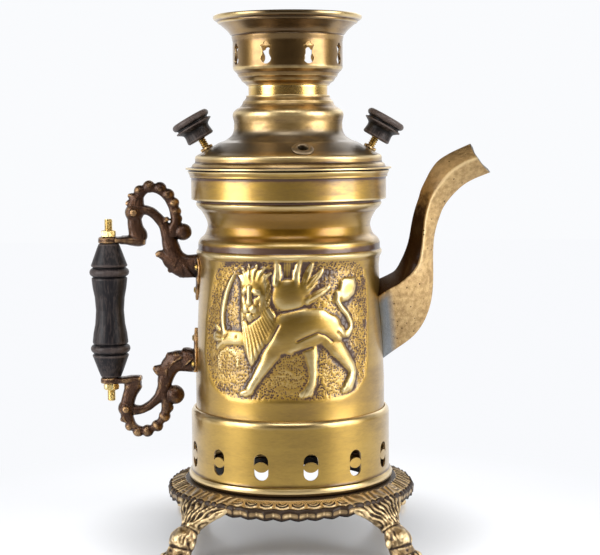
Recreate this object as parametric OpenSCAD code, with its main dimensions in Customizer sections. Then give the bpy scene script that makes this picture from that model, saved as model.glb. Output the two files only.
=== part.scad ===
// Charcoal samovar of the kettle kind, in millimetres.
// +X is the spout side, -X the handle side, -Y the front, Z = 0 the floor.

/* [Stand] */
// Height of the fire box seat above the floor
stand_h = 42; // [39:1:50]
// Width of the tray beyond the fire box wall
tray_overhang = 17.2; // [13:0.2:22]
// Depth of the tray's edge
tray_edge_h = 6; // [5:0.5:8]
// Drop from the fire box seat to the top of the tray's edge
tray_fall = 5.5; // [3:0.5:7]
// Width of the tray's ledge inside the fire box flange
tray_ledge = 4; // [1:0.5:8]
// Thickness of the tray under the fire box
tray_wall = 6; // [4:0.5:8]
// Number of scallops around the tray's edge
scallops = 48; // [24:4:64]
// Depth of one scallop
scallop_depth = 1.4; // [0:0.1:2]
// Distance from the tray's edge to the middle of each paw
paw_out = 20; // [16:1:23]
// Half width of the leaf where each leg leaves the tray
leaf_w = 21; // [16:1:28]
// Half width of the leg at its knuckle
knuckle_r = 10; // [8:0.5:11]
// Half width of the leg at its ankle
ankle_r = 7; // [5:0.2:8]
// Radius of one toe
toe_r = 3.6; // [3:0.1:4]
// Toes on each paw
toes = 4; // [2:1:5]

/* [Fire box] */
// Outer diameter of the fire box wall
burner_d = 139.6; // [136:0.2:142]
// Height of the fire box from its seat to its shoulder
burner_h = 51.4; // [46:0.2:56]
// Sheet thickness of the fire box
burner_wall = 1.2; // [0.8:0.1:1.6]
// Radius of the rolled bead at the foot of the fire box
foot_bead_r = 3.5; // [2.5:0.1:4]
// Width of the flange that rests on the tray
seat_flange_w = 6.5; // [5:0.5:7]
// Number of draught slots
slot_count = 13; // [6:1:14]
// Width of a draught slot
slot_w = 10; // [6:0.5:12]
// Height of a draught slot
slot_h = 18; // [14:0.5:22]
// Height of the slots' middle above the seat
slot_z = 20; // [16:0.5:24]
// Height of the lens-shaped bridge across each slot
bridge_h = 7; // [4:0.5:9]
// Height of the bridge where it joins the wall
bridge_end_h = 2; // [1:0.2:3]
// Turn of the ring of slots about the axis, in degrees
slot_turn = 11.6; // [0:0.2:30]
// Radius of a stand rivet's shank
stand_rivet_r = 1.5; // [1:0.1:2]

/* [Flue] */
// Outer diameter of the flue at the fire
flue_low_d = 66; // [60:1:72]
// Outer diameter of the flue at the top
flue_top_d = 54.8; // [50:0.2:56]
// Sheet thickness of the flue
flue_wall = 1.5; // [1:0.1:2]
// Height of the straight fire chamber in the flue
fire_chamber_h = 40; // [30:1:60]
// Length of the taper above the fire chamber
flue_taper_h = 70; // [40:1:90]
// Length of flue that shows between the lid and the crown
flue_neck_h = 6.7; // [5:0.1:9]
// Thickness of the grate
grate_t = 3; // [2:0.5:5]
// Diameter of a grate hole
grate_hole_d = 5; // [3:0.5:6]
// Spacing of the grate holes
grate_pitch = 9; // [8:0.5:12]
// Width of the lip that the grate rests on
grate_lip_w = 4; // [3:0.5:6]

/* [Body] */
// Step in from the fire box wall to the body
body_inset = 3.4; // [2.4:0.1:4.4]
// Narrowing of the body from its foot to the bead
body_taper = 3.6; // [1:0.1:5]
// Height of the body from the fire box shoulder to the bead
panel_h = 108.6; // [96:0.2:120]
// Sheet thickness of the body
body_wall = 1.2; // [0.8:0.1:1.6]
// Length of the body that is hidden inside the fire box
body_socket_h = 8; // [6:0.5:10]
// Height of the bead above the body's surface
bead_proud = 2.2; // [1.6:0.1:3]
// Depth of the waist below the body's surface
waist_in = 5.8; // [3:0.2:8]
// Height of the neck from the bead to the mouth band
neck_h = 36.4; // [32:0.2:42]
// Height of the mouth band above the body's surface
mouth_proud = 5.2; // [4:0.1:6]
// Height of the mouth band
mouth_h = 14.8; // [12:0.2:18]
// Height of the rolled rim above the mouth band
rim_proud = 2.2; // [1.6:0.1:3]
// Height of the rolled rim
rim_h = 5.8; // [5:0.2:7]
// Height of the reservoir floor above the foot of the body
floor_rise = 6; // [4:0.5:8]
// Thickness of the reservoir floor
floor_t = 1.2; // [0.8:0.1:2]
// Diameter of one strainer hole behind the spout
strainer_hole_d = 5; // [3:0.5:6]
// Distance from the middle strainer hole to those around it
strainer_ring_r = 8; // [7:0.5:9]

/* [Spout] */
// Distance from the body to the spout's lip
spout_out = 75.6; // [70:0.2:80]
// Height of the spout's foot above the fire box shoulder
spout_foot_z = 33.5; // [30:0.5:40]
// Height of the foot along the body
spout_foot_h = 55; // [50:0.5:60]
// Height of the spout's lip above its foot
spout_rise = 129; // [122:1:134]
// Half width of the spout at its foot
spout_foot_w = 21; // [16:0.5:24]
// Half width of the spout at its throat
spout_throat_w = 9; // [7:0.5:11]
// Half width of the spout at its lip
spout_lip_w = 11; // [8:0.5:13]
// Wall of the spout casting
spout_wall = 2; // [1.5:0.1:3]

/* [Handle] */
// Distance from the foot of the body to the handle rod
handle_out = 60.1; // [56:0.1:64]
// Diameter of the handle rod
rod_d = 6; // [5:0.5:8]
// Length of rod beyond each nut
rod_end = 8; // [5:0.5:10]
// Depth of the upper bracket's root below the body's bead
root_below_bead = 10.6; // [10:0.2:16]
// Length of the wooden grip
grip_l = 94; // [86:0.5:104]
// Diameter of the two rings on the grip
grip_ring_d = 28; // [26:0.2:30]
// Diameter of the grip beside the rings
grip_shoulder_d = 25; // [22:0.2:25.6]
// Diameter of the grip at its waist
grip_waist_d = 19.6; // [16:0.2:22]
// Diameter of the grip's ends
grip_end_d = 14; // [12:0.2:16]
// Height of the cone at each end of the grip
grip_cone_h = 15; // [12:0.5:20]
// Radial clearance of the grip on its rod
grip_play = 0.09; // [0.02:0.01:0.1]
// Gap between each end of the grip and its lug
grip_end_gap = 0.3; // [0.2:0.1:0.6]
// Width across the flats of a rod nut
rod_nut_w = 10; // [9:0.5:12]
// Height of a rod nut
rod_nut_h = 4.5; // [3:0.5:6]
// Thickness of a lug at the rod
lug_t = 4.5; // [3:0.5:6]
// Width of a lug
lug_w = 15; // [12:0.5:18]
// Depth of the castings from front to back
bracket_depth = 8; // [6:0.5:10]
// Height of the arch's highest bead above the bracket's root
scroll_h = 55.4; // [54:0.2:56]
// Length of a lug from the rod to its heel
lug_l = 23; // [22:0.5:24]
// Radius of a bead on the arch
arch_bead_r = 3.6; // [3:0.1:4]
// Radius of the big ball behind the arch
ball_r = 6; // [5:0.1:6.5]
// Height of the upper bracket's root above the handle's middle
upper_root = 31; // [29:0.5:34]
// Depth of the lower bracket's root below the handle's middle
lower_root = 37; // [34:0.5:39]
// Turn of the lower bracket about its root, in degrees
lower_lean = 9; // [4:0.5:11]
// Thickness of the plate behind each bracket
plate_t = 2.2; // [1.6:0.1:3]
// Width of the plate behind each bracket
plate_w = 26; // [22:1:30]
// Length of the plate behind each bracket
plate_l = 31; // [28:1:34]
// Distance of a plate's last rivet from its point
rivet_from_point = 14; // [12:0.5:16]
// Radius of a bracket rivet's shank
bracket_rivet_r = 1.6; // [1:0.1:2]

/* [Lid] */
// Width of the lid beyond the rolled rim
lid_overhang = 1.5; // [1:0.1:2]
// Sheet thickness of the lid
lid_wall = 1.2; // [0.8:0.1:1.6]
// Height of the stepped moulding above the flange
lid_step_h = 11.4; // [9:0.2:13]
// Angle of the lid's cone above level, and lean of the knobs
lid_slope = 30; // [26:0.5:32]
// Width of the lid's cone from its foot to the middles of its fittings
lid_cone_below = 4.1; // [4:0.1:6]
// Width of the lid's cone from the middles of its fittings to its top
lid_cone_above = 7.9; // [7.6:0.1:9]
// Diameter of the lid's neck
lid_neck_d = 75.2; // [72:0.2:78]
// Height of the lid's neck above its cone
lid_neck_h = 16; // [12:0.5:20]
// Bulge of the lid's shoulder beyond the neck
lid_bulge = 1; // [0:0.1:2]
// Height of the shoulder and steps on top of the neck
lid_top_h = 16.4; // [15:0.2:20]
// Running clearance of the lid around the flue
flue_play = 0.5; // [0.3:0.1:1]
// Depth of the locating skirt below the lid
skirt_h = 8; // [5:0.5:12]
// Clearance of the skirt in the body's mouth
skirt_play = 0.5; // [0.3:0.1:1]
// Outer diameter of the vent eyelet
vent_d = 15; // [12:0.5:17]
// Diameter of the vent hole
vent_hole_d = 7; // [5:0.2:8]
// Turn of the vent from the front towards the spout, in degrees
vent_turn = 10; // [0:1:30]

/* [Knobs] */
// Diameter of a knob's top
knob_d = 28; // [24:0.5:30]
// Height of a knob
knob_h = 17; // [15:0.5:20]
// Diameter of the thin disc under a knob's top
knob_disc_d = 27; // [22:0.5:28]
// Diameter of a knob's waist
knob_waist_d = 19; // [16:0.5:21]
// Diameter of a knob's foot
knob_foot_d = 20; // [18:0.5:22]
// Diameter of a knob stud
stud_d = 6; // [4:0.5:6]
// Length of stud that shows between its nut and the knob
stud_show = 6.5; // [4:0.5:8]
// Depth of the stud in the knob
stud_grip = 9; // [6:0.5:11]
// Width across the flats of a stud nut
stud_nut_w = 9; // [9:0.5:10]
// Height of a stud nut
stud_nut_h = 2; // [2:0.5:4]

/* [Crown] */
// Diameter of the crown's rim
crown_rim_d = 103; // [98:0.5:108]
// Diameter of the crown's pierced band
crown_d = 76.2; // [72:0.2:80]
// Height of the moulded bowl below the band
crown_bowl_h = 12.2; // [11:0.2:14]
// Height of the pierced band
crown_band_h = 18; // [17:0.5:22]
// Height of the flare above the band
crown_flare_h = 18; // [15:0.5:22]
// Sheet thickness of the crown
crown_wall = 1.2; // [0.8:0.1:1.6]
// Width of the flat lip that carries a teapot
crown_lip_w = 3; // [2:0.2:5]
// Number of openings in the band
crown_holes = 8; // [4:1:10]
// Width of a band opening
crown_hole_w = 8; // [6:0.2:10]
// Height of a band opening
crown_hole_h = 15; // [13:0.2:16]
// Length of the spigot inside the flue
spigot_l = 16; // [10:0.5:24]
// Clearance of the spigot in the flue
spigot_play = 0.4; // [0.3:0.1:0.8]

/* [Fits] */
// Gap left for solder between curved sheets
solder_gap = 0.1; // [0.05:0.01:0.2]
// Radial clearance of a rivet or stud in its hole
fastener_play = 0.1; // [0.05:0.01:0.2]

/* [Hidden] */
$fn = 96;

// Radii taken from the diameters above
burner_r = burner_d / 2;
foot_bead_proud = 2.2;
burner_foot_r = burner_r + foot_bead_proud - foot_bead_r;
seat_flange_r = burner_foot_r - seat_flange_w;
opening_r = seat_flange_r - tray_ledge;
tray_r = burner_r + tray_overhang;
paw_reach = tray_r + paw_out;
body_r = burner_r - body_inset;
spout_reach = body_r + spout_out;
rod_x = body_r + handle_out;
high_r = body_r - body_taper;
flue_r = flue_top_d / 2;
flue_low_r = flue_low_d / 2;
bead_r = high_r + bead_proud;
waist_r = high_r - waist_in;
mouth_r = high_r + mouth_proud;
rim_r = mouth_r + rim_proud;
lid_r = rim_r + lid_overhang;
lid_step_r = lid_r - 4.8;
lid_cone_low_r = lid_step_r - 6.4;
stud_ring_r = lid_cone_low_r - lid_cone_below;
lid_cone_top_r = stud_ring_r - lid_cone_above;
lid_neck_r = lid_neck_d / 2;
lid_collar_r = flue_r + flue_play + lid_wall;
crown_r = crown_d / 2;
crown_rim_r = crown_rim_d / 2;
spigot_r = flue_r - flue_wall - spigot_play;

// Heights of the stack, from the floor up
seat_z = stand_h;
shoulder_z = seat_z + burner_h;
foot_z = shoulder_z - body_socket_h;
bead_z = shoulder_z + panel_h;
band_z = bead_z + neck_h;
rim_z = band_z + mouth_h;
mouth_z = rim_z + rim_h;
cone_z = mouth_z + lid_step_h;
neck_z = cone_z + (lid_cone_low_r - lid_cone_top_r) * tan(lid_slope);
bulge_z = neck_z + lid_neck_h;
lid_top_z = bulge_z + lid_top_h;
crown_z = lid_top_z + flue_neck_h;
band2_z = crown_z + crown_bowl_h;
flare_z = band2_z + crown_band_h;
crown_top_z = flare_z + crown_flare_h;
handle_mid_z = bead_z - root_below_bead - upper_root;

BRASS = "#a8823c";
BRIGHT_BRASS = "#d8ab4a";
CAST_BRONZE = "#7c5a34";
SAND_CAST = "#b08a4a";
DARK_WOOD = "#352a28";
IRON = "#3c3a38";

// ---- Curves and sheet sections ----

function arc(c, r, from, to, steps = 6) =
    [for (i = [0:steps]) let (a = from + (to - from) * i / steps) c + r * [cos(a), sin(a)]];

function unit(v) = v / norm(v);

// Normal on the left of segment i of a path
function left_of(p, i) = let (d = unit(p[i + 1] - p[i])) [-d[1], d[0]];

// The path moved to its left by t, with mitred corners
function inset(p, t) = [for (i = [0:len(p) - 1])
    let (a = left_of(p, max(i - 1, 0)), b = left_of(p, min(i, len(p) - 2)), m = unit(a + b))
    p[i] + m * t / (m * b)];

// Closed section of a sheet of thickness t, from the path of its outer face
function sheet(p, t) = let (q = inset(p, t)) concat(p, [for (i = [len(q) - 1:-1:0]) q[i]]);

module spun(path, wall) {
    rotate_extrude()
        polygon(sheet(path, wall));
}

// Smooth curve through the rows of p, with m steps between neighbours
function blend(a, b, c, d, t) = 0.5 * (2 * b + (c - a) * t
    + (2 * a - 5 * b + 4 * c - d) * t * t + (3 * b - a - 3 * c + d) * t * t * t);

function curve(p, m) = concat([for (i = [0:len(p) - 2], k = [0:m - 1])
    blend(p[max(i - 1, 0)], p[i], p[i + 1], p[min(i + 2, len(p) - 1)], k / m)],
    [p[len(p) - 1]]);

// Faces that join rings of n points each and close both ends
function skin_faces(rings, n) = concat(
    [[for (j = [n - 1:-1:0]) j]],
    [for (i = [0:rings - 2], j = [0:n - 1])
        [i * n + j, i * n + (j + 1) % n, (i + 1) * n + (j + 1) % n, (i + 1) * n + j]],
    [[for (j = [0:n - 1]) (rings - 1) * n + j]]);

// Direction of row i of a path whose rows start with x and z
function heading(p, i) = let (a = p[max(i - 1, 0)], b = p[min(i + 1, len(p) - 1)])
    unit([b[0] - a[0], b[1] - a[1]]);

// Round bar along rows of [x, z, half width, half depth]
module bar(rows, sides = 10) {
    points = [for (i = [0:len(rows) - 1], j = [0:sides - 1])
        let (r = rows[i], d = heading(rows, i), a = 360 * j / sides, w = r[2] * cos(a))
        [r[0] - d[1] * w, r[3] * sin(a), r[1] + d[0] * w]];
    polyhedron(points, skin_faces(len(rows), sides), convexity = 6);
}

// Places its children at a turn about the axis, measured from the front
module turned(angle) {
    rotate([0, 0, angle - 90])
        children();
}

// ---- Stand and fire box ----

function scallop(a) = scallop_depth * (1 - abs(sin(scallops * a / 2)));

// Rise of the tray's edge towards the legs
function edge_rise(a) = 1.2 * pow(sin(2 * a), 2);

// Section of the tray at angle a, as rows of [radius, height]
function tray_section(a) = let (
    edge = tray_r, bite = scallop(a), top = seat_z - tray_fall + edge_rise(a),
    low = top - tray_edge_h, seat = burner_r + 4, under = seat_z - tray_wall)
    [[opening_r, under], [opening_r, seat_z], [seat, seat_z],
    [(seat + edge) / 2, (seat_z + top) / 2 + 0.6], [edge - 2.4, top],
    [edge - bite, top - 1], [edge - bite - 0.6, low], [edge - 5, low + 1.5],
    [seat, under]];

module tray() {
    steps = scallops * 3;
    n = len(tray_section(0));
    points = [for (i = [0:steps - 1], p = tray_section(360 * i / steps))
        let (a = 360 * i / steps) [p[0] * cos(a), p[0] * sin(a), p[1]]];
    faces = [for (i = [0:steps - 1], j = [0:n - 1])
        let (k = (i + 1) % steps) [i * n + j, k * n + j, k * n + (j + 1) % n, i * n + (j + 1) % n]];
    polyhedron(points, faces, convexity = 8);
}

// Cabriole leg: a leaf under the tray that narrows to the ankle, then the knuckle and the paw
module leg() {
    rows = curve([
        [tray_r - 13, seat_z - tray_fall - 1.5, 4.5, leaf_w + 3],
        [tray_r - 6.5, seat_z - 10.5, 6, leaf_w],
        [tray_r + 1, seat_z - 15.5, 6.5, leaf_w * 0.62],
        [tray_r + 7.5, seat_z - 20, ankle_r, ankle_r + 0.8],
        [paw_reach - 5.5, seat_z - 26, knuckle_r, knuckle_r],
        [paw_reach - 3.5, 9, 8.4, 9.2],
        [paw_reach - 1.2, 4, 7.6, 9.4],
        [paw_reach, -2, 8, 9.8]], 2);
    bar(rows, 12);
}

module paw() {
    spread = (toes - 1) / 2;
    for (i = [-spread:spread])
        translate([paw_reach + 6 - 0.5 * i * i, i * 4.8, toe_r])
            sphere(r = toe_r, $fn = 20);
}

module stand() {
    color(CAST_BRONZE) difference() {
        union() {
            tray();
            for (a = [45:90:315])
                rotate([0, 0, a]) {
                    leg();
                    paw();
                }
        }
        stand_rivet_holes();
        translate([0, 0, -seat_z / 2])
            cube([4 * paw_reach, 4 * paw_reach, seat_z], center = true);
    }
}

stand_rivet_ring_r = seat_flange_r + seat_flange_w / 2;
shoulder_bend_r = 5;

burner_path = concat(
    [[seat_flange_r, seat_z]],
    arc([burner_foot_r, seat_z + foot_bead_r], foot_bead_r, -90, 65),
    [[burner_r, seat_z + 2 * foot_bead_r]],
    arc([burner_r - shoulder_bend_r, shoulder_z - shoulder_bend_r], shoulder_bend_r, 0, 62));

module slot_outline() {
    bulge = (bridge_h - bridge_end_h) / 2;
    bow = (slot_w * slot_w / 4 + bulge * bulge) / (2 * bulge);
    difference() {
        union() {
            for (s = [-1, 1])
                translate([0, s * (slot_h - slot_w) / 2])
                    circle(d = slot_w);
            square([slot_w, slot_h - slot_w], center = true);
        }
        intersection_for (s = [-1, 1])
            translate([0, s * (bow - bridge_h / 2)])
                circle(r = bow);
    }
}

module burner_shell() {
    color(BRASS) difference() {
        spun(burner_path, burner_wall);
        for (i = [0:slot_count - 1])
            turned(slot_turn + 360 * i / slot_count)
                translate([burner_r - 8, 0, seat_z + slot_z])
                    rotate([90, 0, 90])
                        linear_extrude(16)
                            slot_outline();
        stand_rivet_holes();
    }
}

module stand_rivet_holes() {
    for (a = [0:90:270])
        rotate([0, 0, a])
            translate([stand_rivet_ring_r, 0, seat_z - tray_wall - 1])
                cylinder(r = stand_rivet_r + fastener_play, h = tray_wall + burner_wall + 2);
}

module stand_rivets() {
    head = stand_rivet_r * 0.6;
    color(BRASS)
        for (a = [0:90:270])
            rotate([0, 0, a])
                translate([stand_rivet_ring_r, 0, seat_z - tray_wall]) {
                    translate([0, 0, -head])
                        cylinder(r = stand_rivet_r * 1.8, h = head);
                    cylinder(r = stand_rivet_r, h = tray_wall + burner_wall);
                    translate([0, 0, tray_wall + burner_wall])
                        cylinder(r = stand_rivet_r * 1.8, h = head);
                }
}

// ---- Flue ----

floor_z = foot_z + floor_rise;
grate_r = flue_low_r - flue_wall - 0.4;
grate_rows = floor(grate_r / grate_pitch) + 1;

flue_path = [
    [flue_low_r - flue_wall - grate_lip_w, floor_z],
    [flue_low_r, floor_z],
    [flue_low_r, floor_z + fire_chamber_h],
    [flue_r, floor_z + fire_chamber_h + flue_taper_h],
    [flue_r, crown_z]];

module flue_tube() {
    color(BRIGHT_BRASS)
        spun(flue_path, flue_wall);
}

module fire_grate() {
    color(IRON) translate([0, 0, floor_z + flue_wall])
        difference() {
            cylinder(r = grate_r, h = grate_t);
            for (i = [-grate_rows:grate_rows], j = [-grate_rows:grate_rows]) {
                x = (i + j / 2) * grate_pitch;
                y = j * grate_pitch * sin(60);
                if (norm([x, y]) < grate_r - grate_hole_d)
                    translate([x, y, -1])
                        cylinder(d = grate_hole_d, h = grate_t + 2, $fn = 24);
            }
        }
}

// ---- Water body ----

taper_low_z = shoulder_z + 19;
taper_high_z = bead_z - 10;
foot_flange_w = 1.9;

// Outer radius of the body between its foot and its bead
function body_r_at(z) = let (t = (z - taper_low_z) / (taper_high_z - taper_low_z))
    body_r + (high_r - body_r) * min(max(t, 0), 1);

// Neck above the bead: dark band, cove, waist and roll below the mouth band
function neck_at(out, share) = [waist_r + out, bead_z + neck_h * share];

body_path = concat(
    [[body_r + foot_flange_w, foot_z], [body_r, foot_z], [body_r, taper_low_z],
    [high_r, taper_high_z], [high_r + 0.7, bead_z - 4]],
    arc([bead_r - 2.6, bead_z - 0.6], 2.6, -35, 55, 4),
    [neck_at(6.6, 0.06), neck_at(6.6, 0.16), neck_at(6, 0.21)],
    curve([neck_at(4.6, 0.26), neck_at(1.6, 0.34), neck_at(0, 0.47), neck_at(0, 0.54),
        neck_at(1.1, 0.64), neck_at(4, 0.78)], 3),
    [neck_at(6.4, 0.84)],
    arc([mouth_r - 5, band_z - 3.2], 1.8, -40, 50, 4),
    [[mouth_r - 3.6, band_z - 1], [mouth_r, band_z], [mouth_r, rim_z],
    [mouth_r + 1, rim_z + 0.6], [rim_r - 1.2, rim_z + 1.8], [rim_r, mouth_z - 1.6],
    [rim_r, mouth_z]]);

spout_mid_z = shoulder_z + spout_foot_z + spout_foot_h * 0.45;

module strainer_holes() {
    translate([0, 0, spout_mid_z])
        rotate([0, 90, 0]) {
            cylinder(d = strainer_hole_d, h = body_r + 10);
            for (a = [0:60:300])
                rotate([0, 0, a])
                    translate([strainer_ring_r, 0, 0])
                        cylinder(d = strainer_hole_d, h = body_r + 10);
        }
}

module body_shell() {
    color(BRASS) difference() {
        spun(body_path, body_wall);
        strainer_holes();
        bracket_rivet_holes();
    }
}

module reservoir_floor() {
    outer = body_r - body_wall - solder_gap;
    inner = flue_low_r + solder_gap;
    lip = 4;
    section = [[inner, floor_z], [outer, floor_z], [outer, floor_z + lip],
        [outer - floor_t, floor_z + lip], [outer - floor_t, floor_z + floor_t],
        [inner + floor_t, floor_z + floor_t], [inner + floor_t, floor_z + lip],
        [inner, floor_z + lip]];
    color(BRASS)
        rotate_extrude()
            polygon(section);
}

// Solid that fills the body's outline, grown by g, for fitting the castings to it
module body_form(g) {
    rotate_extrude()
        polygon([[0, shoulder_z], [body_r + g, shoulder_z], [body_r + g, taper_low_z],
            [high_r + g, taper_high_z], [high_r + 0.7 + g, bead_z - 4],
            [bead_r + g, bead_z - 2], [bead_r + g, bead_z + 2], [0, bead_z + 2]]);
}

// ---- Spout ----

spout_z = shoulder_z + spout_foot_z;

// Point of the spout's side at shares of its reach and of its rise
function spout_at(out, up) = [body_r + spout_out * out, spout_z + spout_rise * up];

// Point of its upper side over the foot, at a share of the foot's height
function foot_at(out, up) = [body_r + spout_out * out, spout_z + spout_foot_h * up];

// Rows of [upper x, upper z, lower x, lower z, half width] from the foot to the lip
spout_rows = curve([
    concat(foot_at(-0.29, 0.855), spout_at(-0.34, -0.17), spout_foot_w),
    concat(foot_at(-0.066, 0.98), spout_at(0.026, 0), spout_foot_w),
    concat(foot_at(0.086, 1.09), spout_at(0.271, 0.105), spout_foot_w * 0.86),
    concat(foot_at(0.14, 1.273), spout_at(0.392, 0.213), spout_foot_w * 0.67),
    concat(spout_at(0.213, 0.636), spout_at(0.451, 0.38), spout_throat_w * 1.1),
    concat(spout_at(0.266, 0.775), spout_at(0.458, 0.636), spout_throat_w),
    concat(spout_at(0.345, 0.907), spout_at(0.55, 0.806), spout_throat_w),
    concat(spout_at(0.504, 1.062), spout_at(0.749, 0.934), spout_lip_w * 0.91),
    concat(spout_at(0.807, 1.155), spout_at(1, 1), spout_lip_w)], 3);

// Blunt-edged diamond around the middle of a row, drawn in by k of its size
function spout_ring(row, k) = let (
    top = [row[0], row[1]], low = [row[2], row[3]], mid = (top + low) / 2,
    side = mid + (low - top) * 0.04, edge = 0.12,
    t = mid + (top - mid) * (1 - k), b = mid + (low - mid) * (1 - k), w = row[4] * (1 - k),
    tip = [[t[0], 0, t[1]], [side[0], w, side[1]], [b[0], 0, b[1]], [side[0], -w, side[1]]])
    [for (i = [0:3]) let (v = tip[i], before = tip[(i + 3) % 4], after = tip[(i + 1) % 4])
        each [v + (before - v) * edge, v + (after - v) * edge]];

function spout_wall_share(row) =
    2 * spout_wall / min(norm([row[0] - row[2], row[1] - row[3]]) * 0.7, row[4] * 1.4);

module spout_skin(share) {
    rings = [for (row = spout_rows) spout_ring(row, share * spout_wall_share(row))];
    points = [for (ring = rings, p = ring) p];
    polyhedron(points, skin_faces(len(rings), 8), convexity = 6);
}

module spout() {
    color(SAND_CAST) difference() {
        spout_skin(0);
        spout_skin(1);
        body_form(solder_gap);
    }
}

// ---- Handle ----

lug_up_z = handle_mid_z + grip_l / 2 + grip_end_gap;
lug_down_z = handle_mid_z - grip_l / 2 - grip_end_gap;

// Places its children at a bracket's root: out is away from the body, up is away from the grip
module at_root(root_z, side) {
    translate([-body_r_at(root_z), 0, root_z])
        mirror([1, 0, 0])
            mirror([0, 0, side > 0 ? 0 : 1])
                children();
}

// A point of the scroll as [out, up], drawn for a scroll 100 high and turned by the lean
function scroll_point(p, a) = let (k = scroll_h / 100)
    k * [p[0] * cos(a) + p[1] * sin(a), p[1] * cos(a) - p[0] * sin(a)];

// Row of a bar at a point of the scroll, with its half width drawn to the same scale
function scroll_row(p, w, depth, a) = concat(scroll_point(p, a), [w * scroll_h / 100, depth]);

module scroll_ball(p, r, lean) {
    q = scroll_point(p, lean);
    translate([q[0], 0, q[1]])
        sphere(r = r, $fn = 24);
}

// Scroll casting from its root on the body to the heel of its lug, with or without spurs on its crest
module scroll(lean, heel, crested) {
    d = bracket_depth / 2;
    stem = [for (r = [[-2.2, 0, 13.4, 1.5], [12.6, 1.1, 12.3, 1.35], [26.2, 7.2, 10.8, 1.15],
        [35.4, 21.7, 9, 1.08], [39.4, 36.1, 7.8, 1], [42.6, 50.5, 6.9, 1], [50.9, 63.2, 5.6, 0.85],
        [63.2, 71.5, 4.7, 0.75], [77.6, 73.1, 6.1, 0.85]])
        scroll_row([r[0], r[1]], r[2], r[3] * d, lean)];
    crest = [[81.2, 85.7], [82.3, 70], [83.4, 56]];
    column = [for (p = crest) scroll_row(p, 7, d, lean)];
    foot = [[heel[0] + lug_l * 0.2, heel[1] + lug_t * 1.3, lug_l * 0.22, d * 1.1],
        [heel[0] + lug_l * 0.05, heel[1] + lug_t * 0.15, lug_l * 0.2, d * 1.25]];
    bar(curve(stem, 2));
    bar(curve(concat(column, foot), 2));
    leaves = [[[23.5, 3.6], [54.2, 14.4], 6.9], [[18, -2.7], [37.9, -9.9], 6.5]];
    spurs = [[[81.2, 83], [91.2, 93], 4.7], [[81.2, 77.6], [93.9, 80.3], 4.7]];
    for (leaf = crested ? concat(leaves, spurs) : leaves)
        bar([scroll_row(leaf[0], leaf[2], d * 0.75, lean), scroll_row(leaf[1], 1.4, d / 4, lean)], 8);
    for (p = arch_beads)
        scroll_ball(p, arch_bead_r, lean);
    scroll_ball([24.2, 44], ball_r, lean);
    scroll_ball([81.8, 70], d + 1, lean);
}

// Middles of the arch's beads, which meet each other and end at the ball and the crest
arch_beads = curve([[26.4, 53.2], [29.6, 67.7], [37.5, 86.3], [52.3, 98.9], [67.7, 100],
    [78.5, 91.2]], 2);

// Lug with the rod's hole: its inner face lies at height face above the root
module lug(face, reach) {
    heel_x = reach - lug_l;
    difference() {
        translate([0, 0, face])
            linear_extrude(lug_t)
                union() {
                    translate([reach, 0])
                        circle(d = lug_w);
                    polygon([[heel_x, -bracket_depth / 2 - 1], [reach, -lug_w / 2],
                        [reach, lug_w / 2], [heel_x, bracket_depth / 2 + 1]]);
                }
        translate([reach, 0, face - 1])
            cylinder(d = rod_d + 2 * fastener_play, h = lug_t + 2);
    }
}

// Leaf outline of the plate, pointed towards the other bracket
module plate_outline() {
    polygon(concat([[-plate_w / 2, 0], [-plate_w / 2 + 3, 6], [plate_w / 2 - 3, 6], [plate_w / 2, 0]],
        [for (t = [0.2:0.2:1]) [plate_w / 2 * (1 - pow(t, 1.6)), -(plate_l - 6) * t]],
        [for (t = [0.8:-0.2:0.2]) [-plate_w / 2 * (1 - pow(t, 1.6)), -(plate_l - 6) * t]]));
}

module mount_plate(root_z, side) {
    intersection() {
        difference() {
            body_form(solder_gap + plate_t);
            body_form(solder_gap);
        }
        translate([-body_r - 20, 0, root_z])
            mirror([0, 0, side > 0 ? 0 : 1])
                rotate([90, 0, 90])
                    linear_extrude(40)
                        plate_outline();
    }
}

// One handle bracket. Side is 1 for the upper one and -1 for the lower one.
module handle_bracket(root_z, side, lean) {
    face = side > 0 ? lug_up_z - root_z : root_z - lug_down_z;
    reach = rod_x - body_r_at(root_z);
    difference() {
        union() {
            at_root(root_z, side) {
                scroll(lean, [reach - (side > 0 ? lug_l : lug_l - 2.5), face + 0.6], side > 0);
                lug(face, reach);
            }
            mount_plate(root_z, side);
        }
        body_form(solder_gap);
        bracket_rivet_holes();
    }
}

upper_root_z = handle_mid_z + upper_root;
lower_root_z = handle_mid_z - lower_root;

module handle_bracket_upper() {
    color(CAST_BRONZE)
        handle_bracket(upper_root_z, 1, 0);
}

module handle_bracket_lower() {
    color(CAST_BRONZE)
        handle_bracket(lower_root_z, -1, lower_lean);
}

// Places its children on the body's face at each bracket rivet, with +Z outwards
module at_bracket_rivets() {
    for (side = [1, -1], p = [[-1, 0], [1, 0], [0, 1]]) {
        root_z = side > 0 ? upper_root_z : lower_root_z;
        z = root_z - side * p[1] * (plate_l - rivet_from_point);
        rotate([0, 0, 180 + p[0] * rivet_turn])
            translate([body_r_at(z), 0, z])
                rotate([0, 90, 0])
                    children();
    }
}

rivet_turn = 8.6;

module bracket_rivet_holes() {
    at_bracket_rivets()
        translate([0, 0, -body_wall - 3])
            cylinder(r = bracket_rivet_r + fastener_play, h = body_wall + plate_t + 6);
}

module bracket_rivets() {
    head = bracket_rivet_r * 0.7;
    inner = body_wall + 0.2;
    outer = plate_t + solder_gap + 0.2;
    color(BRASS)
        at_bracket_rivets() {
            translate([0, 0, -inner - head])
                cylinder(r = bracket_rivet_r * 1.7, h = head);
            translate([0, 0, -inner])
                cylinder(r = bracket_rivet_r, h = inner + outer);
            translate([0, 0, outer])
                cylinder(r1 = bracket_rivet_r * 1.7, r2 = bracket_rivet_r, h = head);
        }
}

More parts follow.
